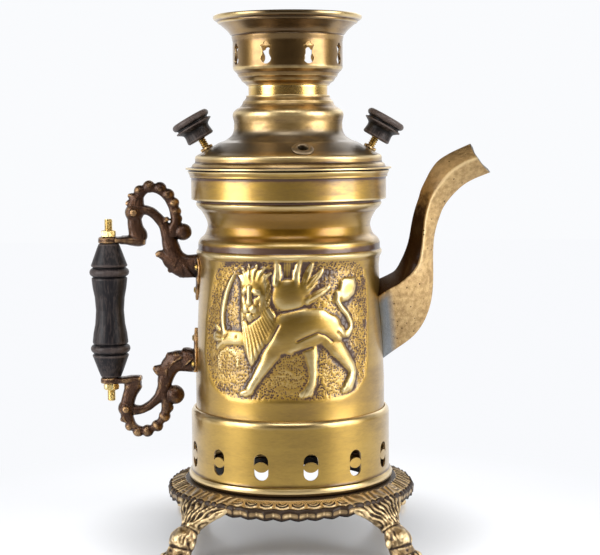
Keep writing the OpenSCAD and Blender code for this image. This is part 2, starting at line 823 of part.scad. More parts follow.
module handle_rod() {
    low = lug_down_z - lug_t - rod_nut_h - rod_end;
    high = lug_up_z + lug_t + rod_nut_h + rod_end;
    chamfer = 0.7;
    r = rod_d / 2;
    color(BRIGHT_BRASS)
        translate([-rod_x, 0, 0])
            rotate_extrude()
                polygon([[0, low], [r - chamfer, low], [r, low + chamfer],
                    [r, high - chamfer], [r - chamfer, high], [0, high]]);
}

module hex_nut(across, h, bore) {
    difference() {
        cylinder(d = across / cos(30), h = h, $fn = 6);
        translate([0, 0, -1])
            cylinder(d = bore, h = h + 2);
    }
}

module rod_nuts() {
    bore = rod_d + 2 * solder_gap;
    color(BRIGHT_BRASS)
        translate([-rod_x, 0, 0]) {
            translate([0, 0, lug_up_z + lug_t])
                hex_nut(rod_nut_w, rod_nut_h, bore);
            translate([0, 0, lug_down_z - lug_t - rod_nut_h])
                hex_nut(rod_nut_w, rod_nut_h, bore);
        }
}

// Half section of the grip from its waist to its end, as rows of [radius, height]
grip_half = concat(
    curve([[grip_waist_d / 2, 0], [grip_waist_d / 2 + 0.7, grip_l * 0.1],
        [grip_shoulder_d / 2 - 0.7, grip_l / 2 - grip_cone_h - 16],
        [grip_shoulder_d / 2, grip_l / 2 - grip_cone_h - 9.5]], 3),
    [[grip_shoulder_d / 2 - 1, grip_l / 2 - grip_cone_h - 8.4]],
    arc([grip_ring_d / 2 - 3, grip_l / 2 - grip_cone_h - 5], 3, -62, 62, 5),
    [[grip_shoulder_d / 2 - 1, grip_l / 2 - grip_cone_h - 1.6],
    [grip_shoulder_d / 2 + 0.2, grip_l / 2 - grip_cone_h]],
    curve([[grip_shoulder_d / 2 - 0.6, grip_l / 2 - grip_cone_h + 1.5],
        [grip_end_d / 2 + 1.6, grip_l / 2 - 4], [grip_end_d / 2, grip_l / 2]], 3));

module handle_grip() {
    bore = rod_d / 2 + grip_play;
    outline = concat([for (i = [len(grip_half) - 1:-1:1]) [grip_half[i][0], -grip_half[i][1]]],
        grip_half);
    color(DARK_WOOD)
        translate([-rod_x, 0, handle_mid_z])
            rotate_extrude()
                polygon(concat(outline, [[bore, grip_l / 2], [bore, -grip_l / 2]]));
}

// ---- Lid ----

// Radius between the lid's neck and the top of its cone
function lid_flank_r(share) = lid_neck_r + (lid_cone_top_r - lid_neck_r) * share;

lid_path = concat(
    [[lid_r, mouth_z + lid_wall], [lid_step_r + 1, mouth_z + lid_wall],
    [lid_step_r, mouth_z + lid_step_h * 0.3], [lid_step_r - 1.8, mouth_z + lid_step_h * 0.42]],
    arc([lid_step_r - 4.4, mouth_z + lid_step_h * 0.66], 2.6, -18, 60, 5),
    [[lid_step_r - 4.6, cone_z - 0.9], [lid_cone_low_r, cone_z],
    [lid_cone_top_r, neck_z]],
    curve([[lid_flank_r(0.587), neck_z + lid_neck_h * 0.1],
        [lid_flank_r(0.202), neck_z + lid_neck_h * 0.29],
        [lid_flank_r(0.037), neck_z + lid_neck_h * 0.525], [lid_neck_r, bulge_z - 3]], 3),
    curve([[lid_neck_r + 0.2, bulge_z - 1], [lid_neck_r + lid_bulge, bulge_z + 2.6],
        [lid_neck_r + 0.3, bulge_z + 5.2], [lid_neck_r - 2, bulge_z + 7.4]], 3),
    [[lid_neck_r - 4.2, bulge_z + 8.6], [lid_neck_r - 5.6, bulge_z + 10.2],
    [lid_neck_r - 6.4, bulge_z + 12.4], [lid_collar_r + 0.9, bulge_z + 13.6],
    [lid_collar_r, bulge_z + 14.8], [lid_collar_r, lid_top_z]]);

// Places its children on the cone at a radius and turn, with +Z square to the sheet
module on_cone(r, angle) {
    turned(angle)
        translate([r, 0, neck_z - (r - lid_cone_top_r) * tan(lid_slope)])
            rotate([0, lid_slope, 0])
                children();
}

vent_barrel_r = vent_hole_d / 2 + 1;

module lid_shell() {
    color(BRASS) difference() {
        spun(lid_path, lid_wall);
        for (a = [90, 270])
            on_cone(stud_ring_r, a)
                translate([0, 0, -lid_wall - 2])
                    cylinder(r = stud_d / 2 + fastener_play, h = lid_wall + 4);
        on_cone(stud_ring_r, vent_turn)
            translate([0, 0, -lid_wall - 2])
                cylinder(r = vent_barrel_r + fastener_play, h = lid_wall + 4);
    }
}

module lid_skirt() {
    outer = mouth_r - body_wall - skirt_play;
    color(BRASS)
        rotate_extrude()
            polygon([[outer, mouth_z - skirt_h], [outer, mouth_z], [outer - 3, mouth_z],
                [outer - 3, mouth_z - lid_wall], [outer - lid_wall, mouth_z - lid_wall],
                [outer - lid_wall, mouth_z - skirt_h]]);
}

module vent_eyelet() {
    flange = 1;
    lift = 0.3;
    below = lid_wall + 0.4;
    color(BRASS) on_cone(stud_ring_r, vent_turn)
        rotate_extrude()
            polygon([[vent_hole_d / 2, -below - flange], [vent_hole_d / 2, lift + flange],
                [vent_hole_d / 2 + 0.8, lift + flange + 0.5], [vent_d / 2 - 1, lift + flange],
                [vent_d / 2, lift], [vent_barrel_r, lift], [vent_barrel_r, -below],
                [vent_barrel_r + 1.2, -below], [vent_barrel_r + 1.2, -below - flange]]);
}

stud_nut_lift = 0.1;
knob_base = stud_nut_lift + stud_nut_h + stud_show;

module at_knobs() {
    for (a = [90, 270])
        on_cone(stud_ring_r, a)
            children();
}

module knob_studs() {
    below = lid_wall + stud_nut_lift + stud_nut_h + 1;
    color(BRIGHT_BRASS)
        at_knobs()
            translate([0, 0, -below])
                cylinder(d = stud_d, h = below + knob_base + stud_grip);
}

module knob_nuts() {
    bore = stud_d + 2 * solder_gap;
    color(BRIGHT_BRASS)
        at_knobs() {
            translate([0, 0, stud_nut_lift])
                hex_nut(stud_nut_w, stud_nut_h, bore);
            translate([0, 0, -lid_wall - stud_nut_lift - stud_nut_h])
                hex_nut(stud_nut_w, stud_nut_h, bore);
        }
}

// Section of a knob from the middle of its foot to the middle of its top
knob_outline = concat(
    [[knob_foot_d / 2 - 0.8, 0], [knob_foot_d / 2, 1]],
    curve([[knob_foot_d / 2 - 0.2, 2.4], [knob_waist_d / 2, 5], [knob_waist_d / 2 + 0.4, knob_h - 9.6],
        [knob_disc_d / 2 - 0.8, knob_h - 7.6]], 3),
    [[knob_disc_d / 2, knob_h - 7.2], [knob_disc_d / 2, knob_h - 6.4],
    [knob_disc_d / 2 - 1.8, knob_h - 5.8], [knob_disc_d / 2 - 1.8, knob_h - 5]],
    arc([knob_d / 2 - 2.4, knob_h - 2.4], 2.4, -80, 80, 6),
    [[knob_d / 2 - 5, knob_h], [0, knob_h]]);

module lid_knob(angle) {
    bore = stud_d / 2 + solder_gap;
    color(DARK_WOOD)
        on_cone(stud_ring_r, angle)
            translate([0, 0, knob_base])
                rotate_extrude()
                    polygon(concat([[0, stud_grip + 1], [bore, stud_grip + 1], [bore, 0]],
                        knob_outline));
}

module lid_knob_right() {
    lid_knob(90);
}

module lid_knob_left() {
    lid_knob(270);
}

// ---- Crown ----

cup_floor_r = spigot_r + solder_gap;

crown_path = concat(
    [[cup_floor_r, crown_z], [flue_r + 1, crown_z], [flue_r + 2.2, crown_z + 1.6],
    [flue_r + 4.4, crown_z + 3], [flue_r + 5.8, crown_z + 5.4], [flue_r + 6.8, crown_z + 6.2],
    [flue_r + 7.8, crown_z + 8.6], [crown_r - 1.4, band2_z - 2.2], [crown_r - 0.6, band2_z - 1.4],
    [crown_r, band2_z], [crown_r, flare_z]],
    curve([[crown_r + 0.9, flare_z + 4], [crown_r + 3.2, flare_z + crown_flare_h * 0.4],
        [crown_r + 7.6, flare_z + crown_flare_h * 0.62],
        [crown_rim_r - 1.8, crown_top_z - 3.4]], 3),
    [[crown_rim_r, crown_top_z - 2.2], [crown_rim_r, crown_top_z],
    [crown_rim_r - crown_lip_w, crown_top_z]]);

// Opening in the band: round foot, narrow waist and a three-pointed head
module crown_hole_outline() {
    w = crown_hole_w / 2;
    h = crown_hole_h / 2;
    waist = w * 0.6;
    right = concat(arc([0, -h + w], w, -90, -8, 5),
        [[waist, -h * 0.12], [waist, h * 0.16], [w * 1.02, h * 0.62],
        [w * 0.5, h * 0.76], [w * 0.34, h * 0.92]]);
    polygon(concat(right, [[0, h]], [for (i = [len(right) - 1:-1:1]) [-right[i][0], right[i][1]]]));
}

module crown_cup() {
    color(BRASS) difference() {
        spun(crown_path, crown_wall);
        for (i = [0:crown_holes - 1])
            turned(360 * (i + 0.5) / crown_holes)
                translate([crown_r - 8, 0, (band2_z + flare_z) / 2])
                    rotate([90, 0, 90])
                        linear_extrude(16)
                            crown_hole_outline();
    }
}

module crown_spigot() {
    wall = 1.5;
    flange = 1.6;
    top = crown_z + crown_wall;
    color(BRASS)
        rotate_extrude()
            polygon([[spigot_r - wall, crown_z - spigot_l], [spigot_r, crown_z - spigot_l],
                [spigot_r, top], [spigot_r + flange, top], [spigot_r + flange, top + wall],
                [spigot_r - wall, top + wall]]);
}

stand();
burner_shell();
stand_rivets();
fire_grate();
flue_tube();
body_shell();
reservoir_floor();
spout();
handle_bracket_upper();
handle_bracket_lower();
bracket_rivets();
handle_rod();
rod_nuts();
handle_grip();
lid_shell();
lid_skirt();
vent_eyelet();
knob_studs();
knob_nuts();
lid_knob_left();
lid_knob_right();
crown_cup();
crown_spigot();
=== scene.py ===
import math

import bmesh
import bpy
import numpy as np
from mathutils import Matrix, Vector


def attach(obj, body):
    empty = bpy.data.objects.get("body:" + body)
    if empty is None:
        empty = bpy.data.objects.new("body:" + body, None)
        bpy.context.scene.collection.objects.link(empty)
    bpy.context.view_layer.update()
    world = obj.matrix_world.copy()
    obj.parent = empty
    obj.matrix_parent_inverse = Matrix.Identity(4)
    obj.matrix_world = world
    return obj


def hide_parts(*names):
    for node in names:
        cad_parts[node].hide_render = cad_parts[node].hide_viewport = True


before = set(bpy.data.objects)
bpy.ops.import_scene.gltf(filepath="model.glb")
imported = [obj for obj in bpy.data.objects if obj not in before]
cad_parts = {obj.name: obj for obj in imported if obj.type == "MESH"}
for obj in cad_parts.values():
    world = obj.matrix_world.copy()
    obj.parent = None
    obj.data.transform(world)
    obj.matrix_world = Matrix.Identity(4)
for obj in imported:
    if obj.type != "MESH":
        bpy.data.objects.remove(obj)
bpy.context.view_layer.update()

# ---- Studio ----
# A pale floor that runs into a white background, two tall soft boxes beside the samovar,
# a softer one above it and a weak one behind it. A dark card on the floor before it is met
# by mirror rays alone.

scene = bpy.context.scene
scene.view_settings.view_transform = "Standard"


def add_node(tree, kind, inputs=None, **settings):
    """A new node, with plain values or other nodes' outputs on its sockets."""
    node = tree.nodes.new(kind)
    for name, value in settings.items():
        setattr(node, name, value)
    for socket, value in (inputs or {}).items():
        if isinstance(value, bpy.types.NodeSocket):
            tree.links.new(value, node.inputs[socket])
        else:
            node.inputs[socket].default_value = value
    return node


def sums(tree, operation, a, b=None, c=None, clamp=False):
    """The output of a Math node."""
    given = {i: v for i, v in enumerate((a, b, c)) if v is not None}
    return add_node(tree, "ShaderNodeMath", given, operation=operation, use_clamp=clamp).outputs[0]


def ramp(tree, value, low, high, to_low=0.0, to_high=1.0):
    """A soft step of the value from one level to another."""
    return add_node(tree, "ShaderNodeMapRange", {"Value": value, "From Min": low, "From Max": high,
                    "To Min": to_low, "To Max": to_high}, interpolation_type="SMOOTHSTEP").outputs[0]


def blended(tree, share, a, b):
    """A mix of two colours, all of the second where the share is 1."""
    return add_node(tree, "ShaderNodeMix", {0: share, 6: a, 7: b}, data_type="RGBA").outputs[2]


def seen_directly(tree):
    """1 for camera, mirror and glass rays, which meet the white background."""
    path = add_node(tree, "ShaderNodeLightPath").outputs
    mirror = sums(tree, "MAXIMUM", path["Is Camera Ray"], path["Is Glossy Ray"])
    return sums(tree, "MAXIMUM", mirror, path["Is Transmission Ray"]), path


lens_mm = 88.8
camera_at = (0.0075, -1.036, 0.2804)
camera_tilt, camera_roll = math.radians(84.61), math.radians(-0.39)
camera_data = bpy.data.cameras.new("camera")
camera_data.lens = lens_mm
camera_data.sensor_width = 36.0
camera_data.clip_start, camera_data.clip_end = 0.05, 20
camera = bpy.data.objects.new("camera", camera_data)
camera.matrix_world = (Matrix.Translation(camera_at) @ Matrix.Rotation(camera_tilt, 4, "X")
                       @ Matrix.Rotation(camera_roll, 4, "Z"))
scene.collection.objects.link(camera)
scene.camera = camera

room = bpy.data.worlds.new("studio")
scene.world = room
room.use_nodes = True
tree = room.node_tree
tree.nodes.clear()
dim_tone, white_tone, fill_tone = (0.050, 0.034, 0.020, 1), (0.955, 0.965, 0.985, 1), (0.97, 0.98, 1.0, 1)
fill_level = 0.28
white_seen, light_path = seen_directly(tree)
direction = add_node(tree, "ShaderNodeTexCoord").outputs["Generated"]
axes = add_node(tree, "ShaderNodeSeparateXYZ", {0: direction}).outputs
# Mirror rays meet the white backdrop behind the samovar and the dim room before and above it.
backdrop = ramp(tree, axes["Y"], 0.05, 0.7)
low_down = ramp(tree, sums(tree, "ABSOLUTE", axes["Z"]), 0.35, 0.75, 1.0, 0.0)
wall_seen = sums(tree, "MULTIPLY", backdrop, low_down)
white_wall = sums(tree, "MAXIMUM", wall_seen, light_path["Is Camera Ray"])
wall_tone = blended(tree, white_wall, dim_tone, white_tone)
background = add_node(tree, "ShaderNodeBackground", {"Color": wall_tone, "Strength": 1.0})
fill = add_node(tree, "ShaderNodeBackground", {"Color": fill_tone, "Strength": fill_level})
sky = add_node(tree, "ShaderNodeMixShader", {0: white_seen, 1: fill.outputs[0], 2: background.outputs[0]})
add_node(tree, "ShaderNodeOutputWorld", {"Surface": sky.outputs[0]})


def soft_box(name, at, aim, size, watts):
    """A rectangular lamp at a place, turned to the spot that it lights."""
    lamp = bpy.data.lights.new(name, "AREA")
    lamp.shape = "RECTANGLE"
    lamp.size, lamp.size_y = size
    lamp.energy = watts
    box = bpy.data.objects.new(name, lamp)
    towards = (Vector(aim) - Vector(at)).to_track_quat("-Z", "Y")
    box.matrix_world = Matrix.Translation(at) @ towards.to_matrix().to_4x4()
    scene.collection.objects.link(box)


soft_box("soft_box_left", (-1.15, -0.62, 0.50), (0, 0, 0.18), (0.75, 1.1), 16.5)
soft_box("soft_box_right", (1.15, -0.55, 0.50), (0, 0, 0.18), (0.80, 1.1), 17.5)
soft_box("soft_box_above", (0.0, -0.80, 1.30), (0, 0, 0.15), (0.9, 0.5), 5)
soft_box("soft_box_behind", (0.3, 1.2, 0.9), (0, 0, 0.2), (1.4, 0.8), 3)

floor_size = 3.0
# Where the floor starts to glow and to turn white, in metres from the samovar's axis, and how much.
lift_from, lift_to, lift_level = 0.085, 0.17, 0.34
white_from, white_to, card_level = 0.12, 0.32, 0.62
floor_mesh = bpy.data.meshes.new("floor")
floor_mesh.from_pydata([(x * floor_size, y * floor_size, 0) for x, y in ((-1, -1), (1, -1), (1, 1), (-1, 1))],
                       [], [(0, 1, 2, 3)])
floor = bpy.data.objects.new("floor", floor_mesh)
scene.collection.objects.link(floor)
floor_look = bpy.data.materials.new("pale_floor")
floor_look.use_nodes = True
tree = floor_look.node_tree
tree.nodes.clear()
white_seen, light_path = seen_directly(tree)
spot = add_node(tree, "ShaderNodeTexCoord").outputs["Object"]
away = add_node(tree, "ShaderNodeVectorMath", {0: spot}, operation="LENGTH").outputs["Value"]
far = sums(tree, "MULTIPLY", ramp(tree, away, white_from, white_to), white_seen)
paint = add_node(tree, "ShaderNodeBsdfPrincipled", {"Base Color": (0.72, 0.735, 0.76, 1), "Roughness": 0.18,
                 "Specular IOR Level": 0.5})
lift = sums(tree, "MULTIPLY", white_seen, ramp(tree, away, lift_from, lift_to, 0.0, lift_level))
tree.links.new(lift, paint.inputs["Emission Strength"])
paint.inputs["Emission Color"].default_value = (0.96, 0.97, 1.0, 1)
# The dark card fades out to both sides.
forward = sums(tree, "DIVIDE", add_node(tree, "ShaderNodeSeparateXYZ", {0: spot}).outputs["Y"], away)
card = sums(tree, "MULTIPLY", ramp(tree, forward, -0.9, -0.35, 1.0, 0.0), light_path["Is Glossy Ray"])
glow = ramp(tree, card, 0.0, 1.0, 1.0, card_level)
white = add_node(tree, "ShaderNodeEmission", {"Color": (0.945, 0.955, 0.98, 1), "Strength": glow})
blend = add_node(tree, "ShaderNodeMixShader", {0: far, 1: paint.outputs[0], 2: white.outputs[0]})
add_node(tree, "ShaderNodeOutputMaterial", {"Surface": blend.outputs[0]})
floor_mesh.materials.append(floor_look)

# ---- Stand ----
# One bronze casting: a round tray with a scalloped edge and a ring of leaf tips on its slope,
# on four cabriole legs with fluted leaves at the top and clawed paws. Rubbed bright on top.

mm = 0.001


def plain_mesh(name, verts, faces, sharp=50):
    """A smooth-shaded piece, with edges sharp where its faces turn by more than the given degrees."""
    mesh = bpy.data.meshes.new(name)
    mesh.from_pydata([tuple(v) for v in verts], [], faces)
    mesh.validate()
    mesh.shade_smooth()
    mesh.set_sharp_from_angle(angle=math.radians(sharp))
    piece = bpy.data.objects.new(name, mesh)
    scene.collection.objects.link(piece)
    return piece


def note(piece, name, values):
    """Stores one number for each vertex, for the finish to read."""
    known = piece.data.attributes.get(name)
    known = known or piece.data.attributes.new(name, "FLOAT", "POINT")
    known.data.foreach_set("value", np.asarray(values, np.float32))


def spots_of(piece):
    """The places of its vertices, one row for each."""
    at = np.empty(len(piece.data.vertices) * 3, np.float32)
    piece.data.vertices.foreach_get("co", at)
    return at.reshape(-1, 3).astype(float)


def grid_faces(rows, columns):
    """Quads of a grid that closes on itself both ways, rows of columns."""
    return [(i * columns + j, ((i + 1) % rows) * columns + j,
             ((i + 1) % rows) * columns + (j + 1) % columns, i * columns + (j + 1) % columns)
            for i in range(rows) for j in range(columns)]


def applied(piece):
    """The piece as one plain mesh, with its modifiers worked in and taken off."""
    graph = bpy.context.evaluated_depsgraph_get()
    mesh = bpy.data.meshes.new_from_object(piece.evaluated_get(graph), preserve_all_data_layers=True,
                                           depsgraph=graph)
    piece.modifiers.clear()
    old = piece.data
    piece.data = mesh
    mesh.name = piece.name
    bpy.data.meshes.remove(old)
    return piece


def joined(name, pieces):
    """One piece of several, which are used up."""
    work = bmesh.new()
    for piece in pieces:
        work.from_mesh(piece.data)
        bpy.data.objects.remove(piece)
    mesh = bpy.data.meshes.new(name)
    work.to_mesh(mesh)
    work.free()
    whole = bpy.data.objects.new(name, mesh)
    scene.collection.objects.link(whole)
    return whole


def cast_whole(piece, grain_mm, rounds=1):
    """Melts overlapping shapes into one skin of even facets, as a casting has."""
    tool = piece.modifiers.new("melt", "REMESH")
    tool.mode, tool.voxel_size, tool.use_smooth_shade = "VOXEL", grain_mm * mm, True
    calm = piece.modifiers.new("calm", "SMOOTH")
    calm.factor, calm.iterations = 0.5, rounds
    bpy.context.view_layer.update()
    return applied(piece)


def mark_hollows(piece, rounds=14, calm=0):
    """How far each vertex lies below its surroundings, in mm, and above them as a negative."""
    mesh = piece.data
    ends = np.empty(len(mesh.edges) * 2, np.int64)
    mesh.edges.foreach_get("vertices", ends)
    a, b = ends.reshape(-1, 2).T
    at = spots_of(piece)
    mean, count = at.copy(), np.bincount(ends, minlength=len(at))[:, None]
    for _ in range(rounds):
        total = np.zeros_like(mean)
        for axis in range(3):
            total[:, axis] = (np.bincount(a, mean[b, axis], len(at)) + np.bincount(b, mean[a, axis], len(at)))
        mean = total / np.maximum(count, 1)
    facing = np.empty(len(at) * 3, np.float32)
    mesh.vertices.foreach_get("normal", facing)
    depth = ((mean - at) * facing.reshape(-1, 3)).sum(1) / mm
    for _ in range(calm):
        total = np.bincount(a, depth[b], len(at)) + np.bincount(b, depth[a], len(at))
        depth = total / np.maximum(count[:, 0], 1)
    note(piece, "hollow_and_shade", depth - 0.8 * np.median(depth))
    return piece


def lumpy(piece, size, depth, seed):
    """Swells and sinks the skin by a little, as a rough casting does, in mm."""
    random = np.random.default_rng(seed)
    at = spots_of(piece) / mm
    facing = np.empty(len(at) * 3, np.float32)
    piece.data.vertices.foreach_get("normal", facing)
    swell = np.zeros(len(at))
    for _ in range(14):
        way = random.normal(size=3)
        way *= 2 * math.pi / (size * random.uniform(0.6, 1.6)) / np.linalg.norm(way)
        swell += np.sin(at @ way + random.uniform(0, 6.3))
    at += facing.reshape(-1, 3) * (swell / 3.7 * depth)[:, None]
    piece.data.vertices.foreach_set("co", (at * mm).astype(np.float32).ravel())
    piece.data.update()
    return piece


def smooth_run(rows, steps):
    """Rows of numbers filled in along a smooth curve through them."""
    rows = np.asarray(rows, float)
    ext = np.vstack([2 * rows[0] - rows[1], rows, 2 * rows[-1] - rows[-2]])
    out = []
    for i in range(1, len(ext) - 2):
        for k in range(steps):
            t = k / steps
            a, b, c, d = ext[i - 1:i + 3]
            out.append(0.5 * (2 * b + (c - a) * t + (2 * a - 5 * b + 4 * c - d) * t ** 2
                              + (3 * b - a - 3 * c + d) * t ** 3))
    return np.array(out + [rows[-1]])


def skin(name, rings):
    """A closed tube through the rings, all of one count, with flat ends."""
    rings = np.asarray(rings, float)
    n, around = rings.shape[:2]
    faces = grid_faces(n, around)[:(n - 1) * around]
    faces += [tuple(range(around))[::-1], tuple(range((n - 1) * around, n * around))]
    return plain_mesh(name, rings.reshape(-1, 3) * mm, faces)


def pole_faces(rings, around):
    """Faces of stacked rings between two poles, of which the low one comes first and the high one last."""
    top, faces = 1 + rings * around, []
    for j in range(around):
        k = (j + 1) % around
        faces.append((0, 1 + k, 1 + j))
        faces.append((top, top - around + j, top - around + k))
        for i in range(rings - 1):
            low = 1 + i * around
            faces.append((low + j, low + k, low + around + k, low + around + j))
    return faces


def ellipsoid(at, radii, around=28, up=14):
    """A closed egg shape, in mm."""
    verts = [(at[0], at[1], at[2] - radii[2])]
    for i in range(1, up):
        p = math.pi * i / up
        for j in range(around):
            q = 2 * math.pi * j / around
            verts.append((at[0] + radii[0] * math.sin(p) * math.cos(q),
                          at[1] + radii[1] * math.sin(p) * math.sin(q), at[2] - radii[2] * math.cos(p)))
    verts.append((at[0], at[1], at[2] + radii[2]))
    return plain_mesh("egg", np.array(verts) * mm, pole_faces(up - 1, around))


def metal(name, bright, plain, brown, roughness, patina=1.0, brushed=1.0, mottle=28.0, grain=0.0, wear=0.8,
          axis=(0.0, 0.0), reach=1.0, punched=False, pits=0.0, tint=None, uneven=0.6, lacquer=0.25):
    """Brass or bronze: brighter on worn edges, brown in the hollows, brushed round its axis.

    The notes on the piece say where: "hollow_and_shade" in mm, which on some pieces also carries
    painted shade, near black where deepest; "ground" for punched parts; "tint_and_painted_reflection" for
    another tone, which on the body's waist and the crown is a painted dark reflection of the room. Reach is
    the depth of hollow that holds the brown, mottle the scale of its clouds.
    """
    look = bpy.data.materials.new(name)
    look.use_nodes = True
    tree = look.node_tree
    tree.nodes.clear()
    place = add_node(tree, "ShaderNodeTexCoord").outputs["Object"]
    centred = add_node(tree, "ShaderNodeMapping", {"Vector": place, "Location": (-axis[0], -axis[1], 0)})
    xyz = add_node(tree, "ShaderNodeSeparateXYZ", {0: centred.outputs[0]}).outputs
    flat = add_node(tree, "ShaderNodeCombineXYZ", {0: xyz["X"], 1: xyz["Y"]})
    radius = add_node(tree, "ShaderNodeVectorMath", {0: flat.outputs[0]}, operation="LENGTH").outputs["Value"]
    turn = sums(tree, "MULTIPLY", sums(tree, "ARCTAN2", xyz["Y"], xyz["X"]), 0.02)
    lathe = add_node(tree, "ShaderNodeCombineXYZ", {0: radius, 1: turn, 2: xyz["Z"]}).outputs[0]
    fine = add_node(tree, "ShaderNodeTexNoise", {"Vector": lathe, "Scale": 900.0, "Detail": 3.0,
                    "Roughness": 0.65})
    broad = add_node(tree, "ShaderNodeTexNoise", {"Vector": lathe, "Scale": 330.0, "Detail": 3.0,
                     "Roughness": 0.6})
    lines = add_node(tree, "ShaderNodeMix", {"Factor": 0.45, 2: fine.outputs["Fac"], 3: broad.outputs["Fac"]},
                     data_type="FLOAT").outputs[0]
    spots = add_node(tree, "ShaderNodeTexNoise", {"Vector": lathe if brushed else place,
                     "Scale": mottle * (3 if brushed else 1), "Detail": 5.0, "Roughness": 0.6}).outputs["Fac"]
    clouds = ramp(tree, spots, 0.36, 0.74, 0.0, 0.7)
    # The note holds patina depth, and on the body, lid and spout also painted shade.
    groove_and_shade = add_node(tree, "ShaderNodeAttribute", attribute_name="hollow_and_shade").outputs["Fac"]
    if punched:
        cells = add_node(tree, "ShaderNodeTexVoronoi", {"Vector": place, "Scale": 690.0, "Randomness": 0.8})
        patches = add_node(tree, "ShaderNodeTexNoise",
                           {"Vector": place, "Scale": 48.0, "Detail": 4.0}).outputs["Fac"]
        marks = ramp(tree, cells.outputs["Distance"], 0.10, 0.60, 0.40, -0.24)
        marks = sums(tree, "ADD", marks, ramp(tree, patches, 0.44, 0.66, -0.04, 0.30))
        ground = add_node(tree, "ShaderNodeAttribute", attribute_name="ground").outputs["Fac"]
        groove_and_shade = sums(tree, "MULTIPLY_ADD", marks, ground, groove_and_shade)
    groove_and_shade = sums(tree, "MULTIPLY", groove_and_shade, 1 / reach)
    depth = sums(tree, "ADD", groove_and_shade, sums(tree, "MULTIPLY_ADD", spots, uneven, -uneven / 2))
    # Brown patina in the hollows; where the notes carry painted shade, the same brown stands for it.
    patina_and_shade = ramp(tree, depth, 0.06, 0.42, 0.0, patina)
    rubbed = ramp(tree, depth, -0.05, -0.35, 0.0, wear)
    share = sums(tree, "MULTIPLY_ADD", lines, 1.6 * brushed, -0.8 * brushed)
    tone = sums(tree, "ADD", clouds, share, clamp=True)
    half_brown = tuple(0.5 * p + 0.5 * q for p, q in zip(plain, brown))
    worn = blended(tree, rubbed, blended(tree, tone, (*plain, 1), (*half_brown, 1)), (*bright, 1))
    final = blended(tree, patina_and_shade, worn, (*brown, 1))
    rough = sums(tree, "MULTIPLY_ADD", tone, 0.10, roughness)
    rougher = sums(tree, "MULTIPLY_ADD", patina_and_shade, 0.22, rough)
    if punched:
        rougher = sums(tree, "MULTIPLY_ADD", ground, 0.16, rougher)
    dents = add_node(tree, "ShaderNodeTexNoise", {"Vector": place, "Scale": 22.0, "Detail": 2.0})
    normal = add_node(tree, "ShaderNodeBump", {"Height": dents.outputs["Fac"], "Strength": 0.35,
                      "Distance": 0.0012}).outputs[0]
    if brushed:
        normal = add_node(tree, "ShaderNodeBump", {"Height": lines, "Strength": 0.22 * brushed,
                          "Distance": 0.0002, "Normal": normal}).outputs[0]
    if grain:
        sand = add_node(tree, "ShaderNodeTexNoise", {"Vector": place, "Scale": 900.0, "Detail": 4.0,
                        "Roughness": 0.7})
        normal = add_node(tree, "ShaderNodeBump", {"Height": sand.outputs["Fac"], "Strength": grain,
                          "Distance": 0.0006, "Normal": normal}).outputs[0]
    if pits:
        cells = add_node(tree, "ShaderNodeTexVoronoi", {"Vector": place, "Scale": 330.0}).outputs
        rare = sums(tree, "GREATER_THAN", add_node(tree, "ShaderNodeSeparateColor",
                                                   {0: cells["Color"]}).outputs[0], 0.86)
        hole = sums(tree, "MULTIPLY", ramp(tree, cells["Distance"], 0.28, 0.12, 0.0, pits), rare)
        final = blended(tree, hole, final, (*brown, 1))
        normal = add_node(tree, "ShaderNodeBump", {"Height": hole, "Strength": -0.6, "Distance": 0.0005,
                          "Normal": normal}).outputs[0]
    if tint:
        # Bare filed metal on the spout, a grey-brown tone on the lid, and a painted dark reflection of the
        # room on the fronts of the body's waist and the crown.
        share = add_node(tree, "ShaderNodeAttribute", attribute_name="tint_and_painted_reflection").outputs["Fac"]
        toned = blended(tree, lines, tuple(0.55 * c for c in tint) + (1,), (*tint, 1))
        final = blended(tree, share, final, toned)
    # Near black where the note runs deepest: painted shade in gaps and crevices, such as the seam under the
    # lid's rim.
    painted_gap_shade, gap_shade_from, gap_shade_to = (0.010, 0.008, 0.007, 1), 1.6, 2.4
    final = blended(tree, ramp(tree, depth, gap_shade_from, gap_shade_to), final, painted_gap_shade)
    shader = add_node(tree, "ShaderNodeBsdfPrincipled", {"Base Color": final, "Metallic": 1.0,
                      "Roughness": rougher, "Normal": normal, "Coat Weight": lacquer, "Coat Roughness": 0.22})
    add_node(tree, "ShaderNodeOutputMaterial", {"Surface": shader.outputs[0]})
    return look


cast_bronze = metal("cast_bronze", (0.88, 0.67, 0.37), (0.33, 0.22, 0.105), (0.050, 0.032, 0.021), 0.34,
                    brushed=0.0, mottle=120.0, grain=0.7, wear=1.0, reach=0.45)
stand_r, stand_seat_r, stand_open_r, stand_h = 87.0, 73.8, 58.0, 42.0
scallops, scallop_depth, leaf_r = 48, 1.4, 4.7
edge_drop, edge_h, tray_under = 5.5, 6.5, 36.0
# Down the leg: distance from the axis, height, half the thickness, half the width.
leg_rows = [
    [72.6, 37.8, 3.2, 27], [77, 36.8, 3.6, 27.5], [81.5, 34.6, 4.3, 25], [85.8, 31.2, 5.2, 20],
    [89.8, 27.0, 5.8, 13.6], [93.2, 22.8, 5.9, 8.6], [95.4, 19.8, 6.1, 6.9], [98.2, 17.2, 7.6, 8.2],
    [101.2, 14.0, 9.0, 9.2], [103.2, 10.4, 8.2, 8.9], [104.4, 7.2, 7.4, 8.7], [106, 3.6, 7.9, 9.5],
    [107, 0.3, 8.2, 9.8]]
# Degrees from a leg and from the spout's or the handle's side within which leaves fan out.
leg_zone, side_zone, zone_fade = 22, 30, 6


def bump(distance, half_width, height):
    """A round bead or, with a height below nothing, a groove."""
    return height * np.sqrt(np.clip(1 - (distance / half_width) ** 2, 0, 1))


